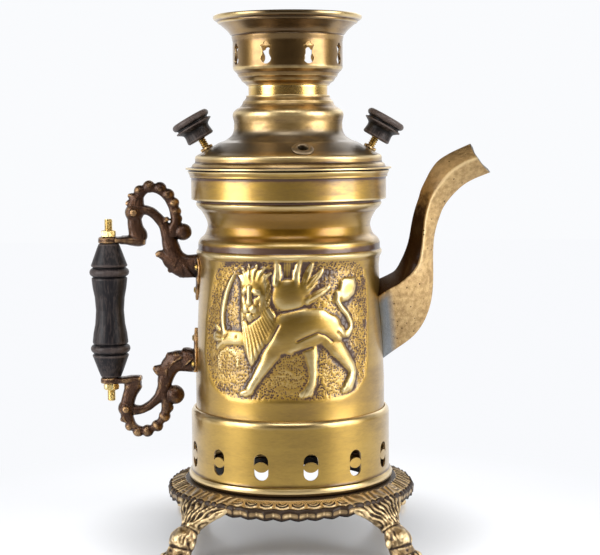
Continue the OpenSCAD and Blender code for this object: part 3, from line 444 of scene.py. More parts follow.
def tray_skin():
    """The tray from its opening over the slope and the scalloped edge and back underneath."""
    turns, across = 1152, 26
    a = np.arange(turns) * 2 * math.pi / turns
    wave = 1 - np.abs(np.sin(scallops * a / 2))
    from_leg = np.degrees(a) % 90 - 45
    to_leg = np.abs(from_leg)
    to_side = np.minimum(np.degrees(a) % 180, 180 - np.degrees(a) % 180)
    leafy = np.maximum(np.clip((leg_zone - to_leg) / zone_fade, 0, 1),
                       np.clip((side_zone - to_side) / zone_fade, 0, 1))
    bite = scallop_depth * wave * (0.5 - 0.35 * leafy)
    bite += 0.3 * (1 - np.sin(a * 37 + 1) * np.sin(a * 23))
    top = stand_h - edge_drop + 1.2 * np.sin(2 * a) ** 2
    low = top - edge_h + 1.1 * wave
    edge = stand_r - bite
    rows = [(np.full(turns, r), np.full(turns, stand_h)) for r in (stand_open_r, 64.0, 70.0, 73.0)]
    rows.append((np.full(turns, stand_seat_r), np.full(turns, stand_h)))
    from_leaf = (a * scallops / (2 * math.pi)) % 1 - 0.5
    for k in range(1, across + 1):
        t = k / across
        r = stand_seat_r + (edge - 0.5 - stand_seat_r) * t
        z = stand_h + (top - stand_h) * t + 1.6 * t * (1 - t)
        side = from_leaf * 2 * math.pi / scallops * r
        recess = 0.6 * np.clip((r - 74.6) / 0.8, 0, 1) * np.clip((stand_r - 3.0 - r) / 1.5, 0, 1)
        dots = 0.22 * np.cos(a * 288) * np.cos((r - 74) * 2 * math.pi / 1.9) * (r < 79)
        ring = np.hypot(side, r - 77.9) - leaf_r
        leaf = bump(ring, 0.95, 1.35) * (np.abs(side) < 4.3) * (r > 79.2)
        inner = bump(np.hypot(side, r - 77.6) - leaf_r + 2.4, 0.8, 0.6) * (r > 78.4)
        line = bump(edge - r - 1.3, 0.85, 0.8)
        fan = from_leg / (24 - 5 * t)
        fluted = 1.3 * (np.abs(np.cos((fan + 0.04 * np.sin(fan * 9 + 3 * t)) * math.pi * 4.5)) - 0.55)
        loose = 0.5 * np.cos(a * 113 + 3 * np.sin(a * 9) + 2 * t) + 0.45 * np.cos(a * 61 + 2 * np.sin(a * 17))
        streaks = np.where(np.abs(fan) < 1, fluted, loose) * (r > 74.8)
        relief = line + (1 - leafy) * (leaf + inner + dots - recess) + leafy * streaks
        rows.append((r, z + relief + (0.9 * wave - 0.45) * t ** 4 * (1 - leafy)))
    for t in np.linspace(0.08, 1, 8):
        rib = np.exp(-((from_leaf % 1) - 1) ** 2 * 260) + np.exp(-(from_leaf % 1) ** 2 * 260)
        rows.append((edge - 0.6 * t + rib * 0.35 + 0.10 * np.cos(a * 96),
                     top - 0.4 + (low - top + 0.4) * t + 0.5 * wave * (1 - t)))
    rows.append((edge - 1.6, low + 0.1))
    rows.append((np.full(turns, 82.0), low + 1.3))
    rows += [(np.full(turns, r), np.full(turns, tray_under)) for r in (78.0, 74.0, 66.0, stand_open_r)]
    r, z = np.array([row[0] for row in rows]), np.array([row[1] for row in rows])
    verts = np.stack([r * np.cos(a), r * np.sin(a), z], 2).reshape(-1, 3) * mm
    faces = [f[::-1] for f in grid_faces(len(rows), turns)]
    return mark_hollows(plain_mesh("stand_tray", verts, faces), 9)


def leg_skin():
    """One leg that stands towards +X, before it is melted into one skin with its toes."""
    rows = smooth_run(leg_rows, 9)
    heading = np.gradient(rows[:, :2], axis=0)
    heading /= np.linalg.norm(heading, axis=1)[:, None]
    n, around = len(rows), 120
    phi = np.arange(around) * 2 * math.pi / around
    s = np.linspace(0, 1, n)[:, None]
    side = np.sin(phi)[None, :]
    front = np.clip(np.cos(phi)[None, :] + 0.35, 0, 1)
    fan = np.clip((0.48 - s) / 0.06, 0, 1) * np.clip(s / 0.04, 0, 1) * np.clip(front * 1.6, 0, 1)
    bend = side + 0.05 * np.sin(s * 40 + side * 5)
    flutes = fan * (1.5 * (np.abs(np.cos(bend * math.pi * 4.5)) - 0.6) + 0.35 * np.cos(bend * 61 + s * 30))
    knot = 0.8 * np.exp(-((s - 0.475) / 0.014) ** 2) - 1.1 * np.exp(-((s - 0.507) / 0.012) ** 2)
    knuckle = np.exp(-((s - 0.64) / 0.08) ** 2) * np.clip((np.abs(side) - 0.45) / 0.3, 0, 1)
    grooves = -1.0 * knuckle * (0.5 + 0.5 * np.cos((side + 0.03 * np.sin(s * 60)) * math.pi * 11))
    crease = -1.2 * np.exp(-((s - 0.775) / 0.016) ** 2) * front
    relief = flutes + knot + grooves + crease
    up = np.stack([-heading[:, 1], heading[:, 0]], 1)
    up *= np.sign(up[:, 1:2] + 1e-9)
    half_w, half_d = rows[:, 2:3], rows[:, 3:4]
    across = (half_w + relief) * np.cos(phi)[None, :]
    along = (half_d + 0.6 * relief) * side
    x = rows[:, 0:1] + up[:, 0:1] * across
    z = rows[:, 1:2] + up[:, 1:2] * across
    leg = skin("leg", np.stack([x, along, z], 2))
    places = (-1.5, -0.5, 0.5, 1.5)
    toes = [ellipsoid((112.2 - 0.5 * i * i, 4.8 * i, 3.5), (4.6, 2.75, 3.45)) for i in places]
    claws = [ellipsoid((115.8 - 0.5 * i * i, 4.8 * i, 1.7), (1.6, 1.1, 1.6), 14, 8) for i in places]
    scrolls = [ellipsoid((101.0, side * 8.2, 12.4), (2.8, 2.4, 3.4)) for side in (-1, 1)]
    beads = [ellipsoid((97.6, side * 2.6, 24.9), (1.7, 1.9, 1.6), 18, 10) for side in (-1, 1)]
    return joined("leg", [leg] + toes + claws + scrolls + beads)


tray = tray_skin()
legs = leg_skin()
pattern = spots_of(legs)
leg_faces = [tuple(p.vertices) for p in legs.data.polygons]
bpy.data.objects.remove(legs)
four, four_faces = [], []
for k in range(4):
    turn = math.radians(45 + 90 * k)
    c, s = math.cos(turn), math.sin(turn)
    four_faces += [tuple(v + len(pattern) * k for v in f) for f in leg_faces]
    four.append(np.stack([pattern[:, 0] * c - pattern[:, 1] * s, pattern[:, 0] * s + pattern[:, 1] * c,
                          pattern[:, 2]], 1))
legs = plain_mesh("stand_legs", np.vstack(four), four_faces)
cast_whole(legs, 0.58)
lumpy(legs, size=7.0, depth=0.22, seed=3)
lumpy(legs, size=3.0, depth=0.06, seed=4)
at = spots_of(legs)
at[:, 2] = np.maximum(at[:, 2], 0)
legs.data.vertices.foreach_set("co", at.astype(np.float32).ravel())
mark_hollows(legs, 10)
for piece in (tray, legs):
    piece.data.materials.clear()
    piece.data.materials.append(cast_bronze)
    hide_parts("stand")
    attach(piece, "root")

# ---- Fire box ----
# A ring spun from brass sheet, with a rolled foot bead, a turned-in seat flange and a
# rounded shoulder. Thirteen draught slots are sawn through it, each with a lens-shaped bridge.


def soften(outline, radius, least_turn=24):
    """A closed outline of (r, z) with its sharp corners rounded, as a scraper leaves them."""
    points, n = [], len(outline)
    for i in range(n):
        before, here, after = (Vector(outline[(i + k) % n]) for k in (-1, 0, 1))
        a, b = before - here, after - here
        if a.length < 1e-9 or b.length < 1e-9:
            continue
        turn = math.pi - a.angle(b)
        if turn < math.radians(least_turn) or here.x < 1e-6:
            points.append(tuple(here))
            continue
        back = min(radius * math.tan(turn / 2), 0.45 * a.length, 0.45 * b.length)
        start, end = here + a.normalized() * back, here + b.normalized() * back
        for t in (0, 0.33, 0.67, 1):
            points.append(tuple(start.lerp(here, t).lerp(here.lerp(end, t), t)))
    return points


def offset_left(path, wall):
    """The path moved to its left by the wall, with mitred corners."""
    moved = []
    for i, here in enumerate(path):
        here = Vector(here)
        ahead = (Vector(path[min(i + 1, len(path) - 1)]) - Vector(path[min(i, len(path) - 2)])).normalized()
        behind = (Vector(path[max(i, 1)]) - Vector(path[max(i - 1, 0)])).normalized()
        left_a, left_b = Vector((-behind.y, behind.x)), Vector((-ahead.y, ahead.x))
        middle = (left_a + left_b).normalized()
        moved.append(tuple(here + middle * wall / max(middle.dot(left_b), 0.4)))
    return moved


def step_out(outline, step, closed=True):
    """The outline with points added so that no stretch is longer than the step."""
    points = []
    for a, b in zip(outline, outline[1:] + (outline[:1] if closed else [])):
        count = max(1, math.ceil(math.dist(a, b) / step))
        points += [(a[0] + (b[0] - a[0]) * k / count, a[1] + (b[1] - a[1]) * k / count) for k in range(count)]
    return points if closed else points + [outline[-1]]


def hollows(outline, reach=2.2):
    """How far each point of a closed outline lies in a groove (positive) or on an edge (negative)."""
    p = np.array(outline)
    length = np.linalg.norm(np.roll(p, -1, 0) - p, axis=1)
    along = np.concatenate([[0], np.cumsum(length)])
    total, along = along[-1], along[:-1]
    apart = np.abs(along[:, None] - along[None, :])
    apart = np.minimum(apart, total - apart)
    weight = np.exp(-(apart / reach) ** 2) * ((length + np.roll(length, 1)) / 2)[None, :]
    mean = (weight[:, :, None] * p[None]).sum(1) / weight.sum(1)[:, None]
    run = np.roll(p, -1, 0) - np.roll(p, 1, 0)
    out = np.stack([run[:, 1], -run[:, 0]], 1) / np.maximum(np.linalg.norm(run, axis=1), 1e-9)[:, None]
    return ((mean - p) * out).sum(1)


def turned(name, outline, sides=144, rounding=0.35, step=1.6):
    """A solid of revolution from its closed outline of (r, z) in mm, outer path upwards first."""
    outline = step_out(soften(outline, rounding), step)
    depth = np.array(hollows(outline))
    r, z = np.array(outline).T
    a = np.arange(sides) * 2 * math.pi / sides
    verts = np.stack([np.outer(np.cos(a), r), np.outer(np.sin(a), r), np.tile(z, (sides, 1))], 2)
    piece = plain_mesh(name, verts.reshape(-1, 3) * mm, grid_faces(sides, len(outline)))
    note(piece, "hollow_and_shade", np.tile(depth, sides))
    if r.min() < 1e-6:
        work = bmesh.new()
        work.from_mesh(piece.data)
        bmesh.ops.remove_doubles(work, verts=work.verts, dist=1e-7)
        work.to_mesh(piece.data)
        work.free()
    return piece


def sheet(path, wall):
    """Closed outline of spun sheet from the path of its outer face."""
    return list(path) + offset_left(path, wall)[::-1]


def cut(piece, cutter):
    """Takes the cutter's shape out of the piece. The new faces get the cutter's finish."""
    tool = piece.modifiers.new("cut", "BOOLEAN")
    tool.operation, tool.solver, tool.object = "DIFFERENCE", "EXACT", cutter
    tool.material_mode = "TRANSFER"
    bpy.context.view_layer.update()
    applied(piece)
    bpy.data.objects.remove(cutter)
    piece.data.shade_smooth()
    piece.data.set_sharp_from_angle(angle=math.radians(40))
    return piece


def prism(name, outline, x_from, x_to, look):
    """A bar of the given (y, z) outline in mm that runs along X, to be used as a cutter."""
    n = len(outline)
    verts = [(x * mm, y * mm, z * mm) for x in (x_from, x_to) for y, z in outline]
    faces = [tuple(range(n))[::-1], tuple(range(n, 2 * n))]
    faces += [(i, (i + 1) % n, n + (i + 1) % n, n + i) for i in range(n)]
    mesh = bpy.data.meshes.new(name)
    mesh.from_pydata(verts, [], faces)
    mesh.materials.append(look)
    tool = bpy.data.objects.new(name, mesh)
    scene.collection.objects.link(tool)
    return tool


def new_group(name, **inputs):
    """An empty Geometry Nodes group with one geometry in and out and its named inputs."""
    kinds = {int: "NodeSocketInt", float: "NodeSocketFloat"}
    group = bpy.data.node_groups.new(name, "GeometryNodeTree")
    group.interface.new_socket("Geometry", in_out="INPUT", socket_type="NodeSocketGeometry")
    for label, value in inputs.items():
        socket = group.interface.new_socket(label.replace("_", " "), in_out="INPUT",
                                            socket_type=kinds[type(value)])
        socket.default_value = value
    group.interface.new_socket("Geometry", in_out="OUTPUT", socket_type="NodeSocketGeometry")
    return group, add_node(group, "NodeGroupInput").outputs


def end_group(group, geometry, look):
    """Ends a group in plain meshes of one finish."""
    real = add_node(group, "GeometryNodeRealizeInstances", {0: geometry})
    dressed = add_node(group, "GeometryNodeSetMaterial", {0: real.outputs[0], "Material": look})
    add_node(group, "NodeGroupOutput", {0: dressed.outputs[0]})
    return group


def run_group(piece, group, **values):
    """Puts a Geometry Nodes group on the piece, sets its named inputs and works it in."""
    tool = piece.modifiers.new(group.name, "NODES")
    tool.node_group = group
    ids = {item.name: item.identifier for item in group.interface.items_tree
           if item.item_type == "SOCKET" and item.in_out == "INPUT"}
    for name, value in values.items():
        tool[ids[name.replace("_", " ")]] = value
    bpy.context.view_layer.update()
    return applied(piece)


def ring_group(name, look):
    """Repeats its geometry in a ring about the vertical axis."""
    group, given = new_group(name, Count=8, First_turn=0.0, Step=1.0)
    line = add_node(group, "GeometryNodeMeshLine", {"Count": given["Count"], "Offset": (0, 0, 0)},
                    mode="OFFSET")
    place = add_node(group, "GeometryNodeInputIndex").outputs[0]
    turn = sums(group, "MULTIPLY_ADD", place, given["Step"], given["First turn"])
    about = add_node(group, "ShaderNodeCombineXYZ", {2: turn})
    copies = add_node(group, "GeometryNodeInstanceOnPoints", {"Points": line.outputs[0],
                      "Instance": given["Geometry"], "Rotation": about.outputs[0]})
    return end_group(group, copies.outputs[0], look)


antique_brass = metal("antique_brass", (0.90, 0.69, 0.34), (0.52, 0.325, 0.060), (0.105, 0.053, 0.016), 0.28,
                      mottle=22.0, lacquer=0.9)
cut_edge_brass = metal("cut_edge_brass", (0.95, 0.78, 0.50), (0.86, 0.66, 0.38), (0.5, 0.3, 0.15), 0.35,
                       patina=0.1)

fire_box_path = [
    (62.0, 42.00), (68.5, 42.00), (70.0, 42.35), (71.2, 43.33), (71.9, 44.74), (71.9, 46.31), (71.2, 47.71),
    (70.0, 48.67), (69.8, 49.4), (69.8, 88.40), (69.7, 89.30), (69.5, 90.16), (69.1, 90.98), (68.6, 91.70),
    (67.9, 92.32), (67.1, 92.81)]
sheet_wall = 1.2
slot_count, slot_turn = 13, 11.6
slot_w, slot_h, slot_z = 10.0, 18.0, 62.0
bridge_h, bridge_end_h = 7.0, 2.0


def slot_halves():
    """The upper and lower opening of one slot: a round end with the bridge's bow taken out."""
    bulge = (bridge_h - bridge_end_h) / 2
    bow = (slot_w ** 2 / 4 + bulge ** 2) / (2 * bulge)
    half = [(slot_w / 2 * math.cos(a), (slot_h - slot_w) / 2 + slot_w / 2 * math.sin(a))
            for a in np.arange(13) * math.pi / 12]
    half += [(y, math.sqrt(bow ** 2 - y ** 2) - (bow - bridge_h / 2))
             for y in np.linspace(-slot_w / 2, slot_w / 2, 9)]
    return half, [(y, -z) for y, z in half[::-1]]


burner = turned("burner_ring", sheet(fire_box_path, sheet_wall), sides=208, rounding=0.3)
burner.data.materials.append(antique_brass)
ring_of_cuts = ring_group("ring_of_cuts", cut_edge_brass)
for number, half in enumerate(slot_halves()):
    opening = [(y, slot_z + z) for y, z in half]
    cutter = prism("slot_cutter_%d" % number, opening, 62, 78, cut_edge_brass)
    run_group(cutter, ring_of_cuts, Count=slot_count, Step=2 * math.pi / slot_count,
              First_turn=math.radians(slot_turn - 90))
    cut(burner, cutter)
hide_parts("burner_shell")
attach(burner, "root")

# ---- Flue ----
# A tapered brass tube that carries the fire's draught up through the water to the crown. Its
# wide foot holds the grate, and its top shows as a bright ring between lid and crown.

bright_brass = metal("bright_brass", (0.95, 0.72, 0.30), (0.80, 0.52, 0.155), (0.12, 0.055, 0.018), 0.22,
                     patina=0.9, brushed=0.6)
flue_path = [(27.5, 91.40), (33.0, 91.40), (33.0, 131.40), (27.4, 201.40), (27.4, 316.43)]
flue_wall = 1.5
flue = turned("flue_pipe", sheet(flue_path, flue_wall), sides=128)
flue.data.materials.append(bright_brass)
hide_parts("flue_tube")
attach(flue, "root")

# ---- Water body ----
# A spun shell with a foot flange inside the fire box, a bead, a waist and a mouth band. Its
# front is chased with a lion that holds a sword before the rising sun, on a punched ground.

body_path = [
    (68.3, 85.40), (66.4, 85.40), (66.4, 112.40), (62.8, 192.00), (63.5, 198.00), (64.5, 199.91),
    (64.9, 200.84), (65.0, 201.85), (64.6, 202.80), (63.9, 203.53), (63.6, 204.18), (63.6, 207.82),
    (63.0, 209.64), (61.6, 211.46), (60.8, 212.15), (59.6, 213.16), (58.6, 214.38), (57.9, 215.90),
    (57.4, 217.62), (57.0, 219.11), (56.8, 220.08), (56.9, 220.81), (57.0, 221.66), (57.2, 222.74),
    (57.6, 223.93), (58.1, 225.30), (59.0, 227.08), (60.2, 229.02), (61.0, 230.39), (63.4, 232.58),
    (64.4, 234.04), (64.7, 234.66), (64.8, 235.36), (64.6, 236.03), (64.2, 236.58), (64.4, 237.40),
    (68.0, 238.40), (68.0, 253.20), (69.0, 253.80), (69.0, 255.00), (70.2, 257.40), (70.2, 258.20),
    (69.3, 258.35), (69.3, 259.00)]
chart_r = 65.0
panel_low, panel_high, sunk = 102.6, 201.6, 0.85
straight_top, row_step, drawn_back = 197.9, 0.66, 2.2
chased_turn, fine_columns, plain_columns = 69, 213, 44
waist_low, waist_high = 209.5, 235.5
# Bands darkened on the body's outside: from, to, how dark. The wide one on the mouth band is brown patina;
# the narrow lines under the bead, under the mouth band and at its step are painted shade, and the near-black
# one under the lid's rim is a painted shadow in the seam's gap.
shade_and_stain_bands = [(203.6, 208.4, 0.42), (236.2, 238.6, 0.5), (238.8, 257.6, 0.12), (252.6, 254.3, 0.3),
           (257.8, 259.7, 3.4)]
# The panel's outline: mm round the body from the middle of its front, and height.
panel_edge = [
    (-41.8, 201.2), (-3.1, 201.6), (45, 200.8), (56.9, 198.9), (63.2, 193.1), (66.8, 181.8), (65.7, 156.2),
    (62.9, 129), (59.6, 117.4), (49.5, 109.5), (36.6, 105.5), (18.7, 104.2), (-3.9, 104.4), (-27.1, 104),
    (-43.2, 104.4), (-56.4, 109.3), (-66.4, 117.2), (-72.3, 133.1), (-71.6, 156.4), (-66.7, 175.3),
    (-61, 191.2), (-53.2, 199.4)]


def inside(U, Z, outline):
    """Distance in mm from each spot to an outline, above nothing inside it and below outside."""
    p = np.array(outline)
    near, within = np.full(U.shape, 1e9), np.zeros(U.shape, bool)
    for a, b in zip(p, np.roll(p, -1, 0)):
        run = b - a
        t = np.clip(((U - a[0]) * run[0] + (Z - a[1]) * run[1]) / (run @ run), 0, 1)
        near = np.minimum(near, np.hypot(U - a[0] - t * run[0], Z - a[1] - t * run[1]))
        if abs(run[1]) > 1e-9:
            within ^= ((a[1] > Z) != (b[1] > Z)) & (U < a[0] + (Z - a[1]) * run[0] / run[1])
    return np.where(within, near, -near)


def stroke(U, Z, points):
    """Distance from a line of (u, z, radius), as a share of its radius there."""
    best = np.full(U.shape, 9.0)
    for a, b in zip(points, points[1:]):
        run = (b[0] - a[0], b[1] - a[1])
        t = ((U - a[0]) * run[0] + (Z - a[1]) * run[1]) / max(run[0] ** 2 + run[1] ** 2, 1e-9)
        t = np.clip(t, 0, 1)
        d = np.hypot(U - a[0] - t * run[0], Z - a[1] - t * run[1])
        best = np.minimum(best, d / (a[2] + t * (b[2] - a[2])))
    return best


def limb(U, Z, height, *points):
    """A rounded swelling along (u, z, radius)."""
    return height * np.sqrt(np.clip(1 - stroke(U, Z, points) ** 2, 0, 1))


def line(U, Z, height, width, *points):
    """A ridge, or a groove with a height below nothing, along (u, z)."""
    q = stroke(U, Z, [(p[0], p[1], width) for p in (points if len(points) > 1 else points * 2)])
    return height * np.exp(-(q * 1.25) ** 2 * 1.2) * (q < 2.2)


def plateau(U, Z, height, edge, outline):
    """A raised patch within an outline, rounded off over the width of its edge."""
    d = np.clip(inside(U, Z, outline) / edge, 0, 1)
    return height * np.sqrt(1 - (1 - d) ** 2)


def merged(*shapes):
    """Shapes that flow into each other where they meet."""
    return sum(np.clip(s, 0, None) ** 5 for s in shapes) ** 0.2


def chased_front(U, Z):
    """Height of the relief over the body's skin in mm, then the punched ground, its darkening and the panel.
    """

    def swell(height, *points):
        return limb(U, Z, height, *points)

    def scratch(depth, width, *points):
        return line(U, Z, -depth, width, *points)

    # The lion's trunk, near legs and raised tail with its tuft, then the far leg and the paws.
    body = merged(swell(3.0, (-7, 148, 11), (0, 151.5, 14.2), (10, 154.5, 13.8), (20, 156, 11.8),
                        (28, 154, 9.8), (34, 150.5, 6.6)),
                  swell(2.2, (-12, 139, 7), (-15, 132.5, 5), (-19.2, 126, 4.1), (-23, 120, 3.3),
                        (-26.8, 114.2, 3.1)),
                  swell(2.1, (30, 147, 8.2), (34.5, 139.5, 6.2), (39.5, 133.5, 5.1), (44, 128, 4.2),
                        (45.8, 124, 3.5), (44.6, 119, 3.9), (42, 114.4, 4.1)),
                  swell(1.7, (36, 150, 3.5), (42.4, 149.4, 2.6), (45.6, 153.2, 2.2), (45.6, 157.2, 2),
                        (42.6, 162.6, 1.9), (38, 167.4, 1.9), (34.9, 172, 2), (35.2, 177, 2.6)),
                  plateau(U, Z, 2.0, 4.0,
                          [(37.8, 185.8), (41, 187.4), (51.2, 187), (52.4, 181.5), (50, 175.6),
                           (43.7, 171.6), (38.2, 170.6), (34.6, 174.5), (35.4, 180), (36.6, 183)]))
    far_leg = swell(1.5, (13.5, 141, 5.6), (14.8, 136, 4.6), (15.5, 129, 3.5), (15.8, 123, 2.9),
                    (14.6, 117, 3.2), (12.2, 112.6, 3.8))
    thigh = swell(1.5, (4, 141.6, 2.8), (13, 145.6, 3.8), (22, 147, 3.8), (29, 143, 3))
    feet = merged(swell(1.5, (-27, 112.6, 2.9), (-30.5, 111, 2.7), (-33, 110.6, 1.8)),
                  swell(1.4, (41.5, 113.6, 3.8), (38.6, 112, 2.7)),
                  swell(1.2, (12.4, 112.4, 3.7), (8.6, 110.6, 2.6)))
    # The rising sun's blank disc, and its rays with cuts along them.
    sun = 2.3 * np.sqrt(np.clip(1 - (np.hypot((U - 0.2) / 12.4, (Z - 176.4) / 11.2)) ** 2, 0, 1)) * (Z > 165)
    rays = merged(swell(1.6, (-8.6, 184, 2.8), (-7.6, 190, 2.9), (-7.6, 195, 2.3), (-8.8, 201, 1.2)),
                  swell(1.6, (5.2, 184, 2.8), (5.2, 190, 2.9), (6.4, 195, 2.2), (8.4, 200, 1.2)),
                  swell(1.4, (10, 182, 3.4), (12.8, 189, 3.3), (16.2, 197, 1.4)),
                  swell(1.4, (11.5, 179, 3.4), (17.4, 186, 3.2), (23.6, 192.4, 1.3)),
                  swell(1.4, (12.5, 173, 3.2), (20, 176.9, 3.2), (28.8, 181.6, 1.2)))
    slits = [((10.5, 184), (14.8, 195)), ((13, 181.4), (21, 190)), ((14.4, 174.8), (26, 180.4)),
             ((8.4, 186), (11.6, 196)), ((15.2, 178.6), (21.6, 184.6)), ((14, 171.6), (22.4, 175.8)),
             ((12.4, 184.4), (17.6, 193.2)), ((14.8, 182), (22.2, 187.6)), ((15.4, 176.8), (24, 182.2)),
             ((11, 188), (12.4, 192)), ((-8, 186), (-7.4, 196))]
    for a, b in slits:
        rays = rays + scratch(0.8, 0.55, a, b)
    # The mane falls in strands from the brow to the chest.
    mane_edge = [(-34.4, 174), (-34.8, 165), (-34.2, 156), (-33, 146), (-30, 136), (-26, 128.4),
                 (-21.9, 133.2), (-18.1, 139.6), (-12.5, 147.8), (-7.9, 156.8), (-8.7, 163.9), (-12.2, 170),
                 (-11, 180), (-13, 189), (-18, 193.6), (-25, 195), (-32, 192.4), (-35, 184)]
    mane = plateau(U, Z, 2.5, 3.4, mane_edge)
    fan = np.arctan2(U + 39, 206 - Z)
    below_face = np.clip((167 - Z + 0.5 * (U + 26)) / 4, 0, 1) + (U > -15)
    hair = np.cos(fan / 0.040 * 2 * math.pi + 1.5 * np.sin(Z * 0.16))
    strands = 0.75 * np.clip(below_face, 0, 1) * (0.5 - 0.5 * hair)
    tufts = np.arctan2(U + 24.5, Z - 176)
    strands += 0.7 * np.clip((Z - 184.5) / 3, 0, 1) * (0.5 - 0.5 * np.cos(tufts * 21))
    strands += 0.6 * (U > -15.5) * (Z > 168) * (0.5 - 0.5 * np.cos((U * 0.9 - Z * 0.35) * 2 * math.pi / 2.6))
    mane = mane - strands * (mane > 0.4)
    face = plateau(U, Z, 0.9, 4.5,
                   [(-33.6, 174.8), (-32.6, 181), (-29.8, 185), (-24, 185.6), (-19.4, 183), (-16.4, 176.2),
                    (-17.6, 168), (-21.6, 161), (-28.4, 160.4), (-32.2, 167)])
    # The lion's face: wide nose, round muzzle, slanting eyes set far apart, chin tuft.
    face = face + merged(swell(1.1, (-27, 182, 1.6), (-27, 175, 1.5), (-27, 171.6, 2.8)),
                         swell(0.9, (-29.6, 167.6, 2.9), (-29.3, 167, 2.9)),
                         swell(0.9, (-24.4, 167.4, 2.9), (-24.7, 167, 2.9)),
                         swell(0.7, (-27, 162.6, 2.4), (-26.8, 161, 2)))
    face = face + swell(0.7, (-32.6, 179.4, 1.7), (-31, 179.6, 1.9))
    face = face + swell(0.7, (-23, 179.2, 1.9), (-20.6, 178.6, 1.8))
    for a, b, depth, width in (
            ((-32.4, 176.6), (-30.2, 175.4), 1.3, 0.95), ((-23.8, 175.2), (-21.0, 176.2), 1.3, 0.95),
            ((-29.6, 178), (-29.8, 171.6), 0.9, 0.6), ((-24.4, 178), (-24.0, 171.6), 0.9, 0.6),
            ((-28.6, 170.2), (-28.2, 169.4), 1.1, 0.7), ((-25.4, 170.2), (-25.7, 169.4), 1.1, 0.7),
            ((-27, 168.8), (-27, 165.4), 0.9, 0.55), ((-27, 165.4), (-30.4, 164.2), 0.9, 0.55),
            ((-27, 165.4), (-23.4, 164.2), 0.9, 0.55), ((-31.4, 161.2), (-27.0, 157.4), 0.9, 0.7),
            ((-27.0, 157.4), (-19.4, 162.8), 0.9, 0.7), ((-33.0, 172), (-32.6, 166), 0.8, 0.6),
            ((-19.6, 173), (-20.6, 166), 0.8, 0.6)):
        face = face + scratch(depth, width, a, b)
    # A curved sword in the raised paw, whose toes are parted by cuts.
    sword = swell(1.9, (-40.6, 189.6, 1.0), (-43.8, 184.2, 1.8), (-46.9, 177.6, 2.3), (-49.2, 170, 2.5),
                  (-50.3, 163, 2.4), (-50.0, 156.6, 2.2), (-48, 149.8, 2.2))
    arm = merged(swell(1.8, (-32, 147.4, 5.2), (-38.6, 147.4, 5.0), (-45, 147.4, 5.4), (-51, 146.2, 5.6),
                       (-56.4, 147, 3.8)),
                 swell(1.3, (-50, 143, 3.4), (-54.6, 140, 2.2)),
                 swell(1.2, (-54, 151.6, 2.6), (-57.4, 154.2, 1.4)))
    for a, b in (((-51.5, 149.6), (-58, 151.2)), ((-51, 147), (-59, 147.4)), ((-50.6, 144.4), (-58, 143)),
                 ((-49, 142.2), (-54.6, 138.6)), ((-45.6, 149.6), (-48.4, 146.2)),
                 ((-37.4, 149.4), (-38.2, 146.4))):
        arm = arm + scratch(0.8, 0.6, a, b)
    # A scroll on the ground below the raised paw.
    scroll = [(-45 + 8.6 * math.cos(q), 131 + 8.0 * math.sin(q)) for q in np.linspace(-0.3, 3.6, 16)]
    curl = line(U, Z, 0.55, 1.8, *scroll)
    figure = merged(body, far_leg, feet, rays, sun, thigh * 0.7, sword, arm)
    # Deeper lines part the limbs from the trunk and the toes from each other.
    shadow = 0
    for a in ([(5.3, 146.4), (11.6, 149.2), (18.9, 151.9), (24.6, 149.8), (29.5, 145.9)],
              [(3.5, 138.6), (9.8, 140.4), (15.2, 142)],
              [(-12, 168.4), (-4.3, 165.6), (12, 168.8)],
              [(-18.6, 138), (-11.6, 147.4), (-6.6, 157)],
              [(33.6, 151.4), (37.4, 148), (38.4, 145)]):
        shadow = shadow + scratch(1.0, 1.0, *a)
    for a, b in (((-29.4, 113.8), (-33, 112)), ((-28.4, 111.4), (-31.8, 109.8)),
                 ((41, 116.6), (38.4, 110.4)), ((43.2, 115), (41.2, 109.6)), ((11.6, 114), (8.8, 108.8)),
                 ((14, 112.6), (11.8, 108)), ((-20.8, 121.6), (-24.2, 116.4))):
        shadow = shadow + scratch(0.6, 0.55, a, b)
    # A fan of leaves on the lion's head, and hatching between the two tall rays.
    crest = merged(*[swell(2.6, (-26.4 + 6 * math.sin(q), 181 + 4 * math.cos(q), 2.4),
                           (-25.4 + 10.4 * math.sin(q), 184.5 + 8.5 * math.cos(q), 2.2),
                           (-24.4 + 14.4 * math.sin(q), 184.5 + 12.4 * math.cos(q), 0.6))
                     for q in (-1.05, -0.66, -0.26, 0.16, 0.58, 1.0)])
    crest = crest - 0.7 * (0.5 - 0.5 * np.cos(np.arctan2(U + 25.4, Z - 178) * 42)) * (crest > 0.5)
    figure = np.maximum(figure, np.maximum(mane, 0) + np.maximum(face, -1.4) * (mane > 1.0))
    figure = np.maximum(figure, crest * (Z > 183.5))
    figure = figure + shadow * (figure > 0.3)
    hatch = plateau(U, Z, 1.0, 1.4, [(-6.2, 187), (-5.6, 202.4), (5.4, 202.4), (4.6, 187)])
    figure = figure - hatch * (0.7 + 0.35 * np.cos(U * 2 * math.pi / 1.9)) * (figure < 0.8)
    within = inside(U, Z, panel_edge)
    panel = np.clip(within / 6.0, 0, 1)
    panel = panel * panel * (3 - 2 * panel)
    ground = sunk * panel
    figure = figure * 0.92
    height = (figure + curl * (figure < 0.2)) * panel - ground
    punched = np.clip(panel * 1.8 - 0.3, 0, 1) * np.clip(1 - np.abs(figure) / 0.35, 0, 1)
    # Darker in the punched ground, more so within 13 mm of the panel's edge.
    ground_darkening = punched * (0.10 + 0.30 * np.clip(1 - within / 13, 0, 1))
    return height, punched, ground_darkening, panel


def blurred(height, cells):
    """The height field with its detail finer than the given number of cells smoothed away."""
    taps = np.arange(-3 * cells, 3 * cells + 1)
    weight = np.exp(-(taps / cells) ** 2 / 2)
    weight /= weight.sum()

    def calmed(row):
        return np.convolve(np.pad(row, 3 * cells, "edge"), weight, "valid")

    for axis in (0, 1):
        height = np.apply_along_axis(calmed, axis, height)
    return height


def body_r_at(z):
    """Radius of the plain skin where the panel, the spout and the handle sit, in mm."""
    return np.interp(z, [112.4, 192, 198], [66.4, 62.8, 63.5])


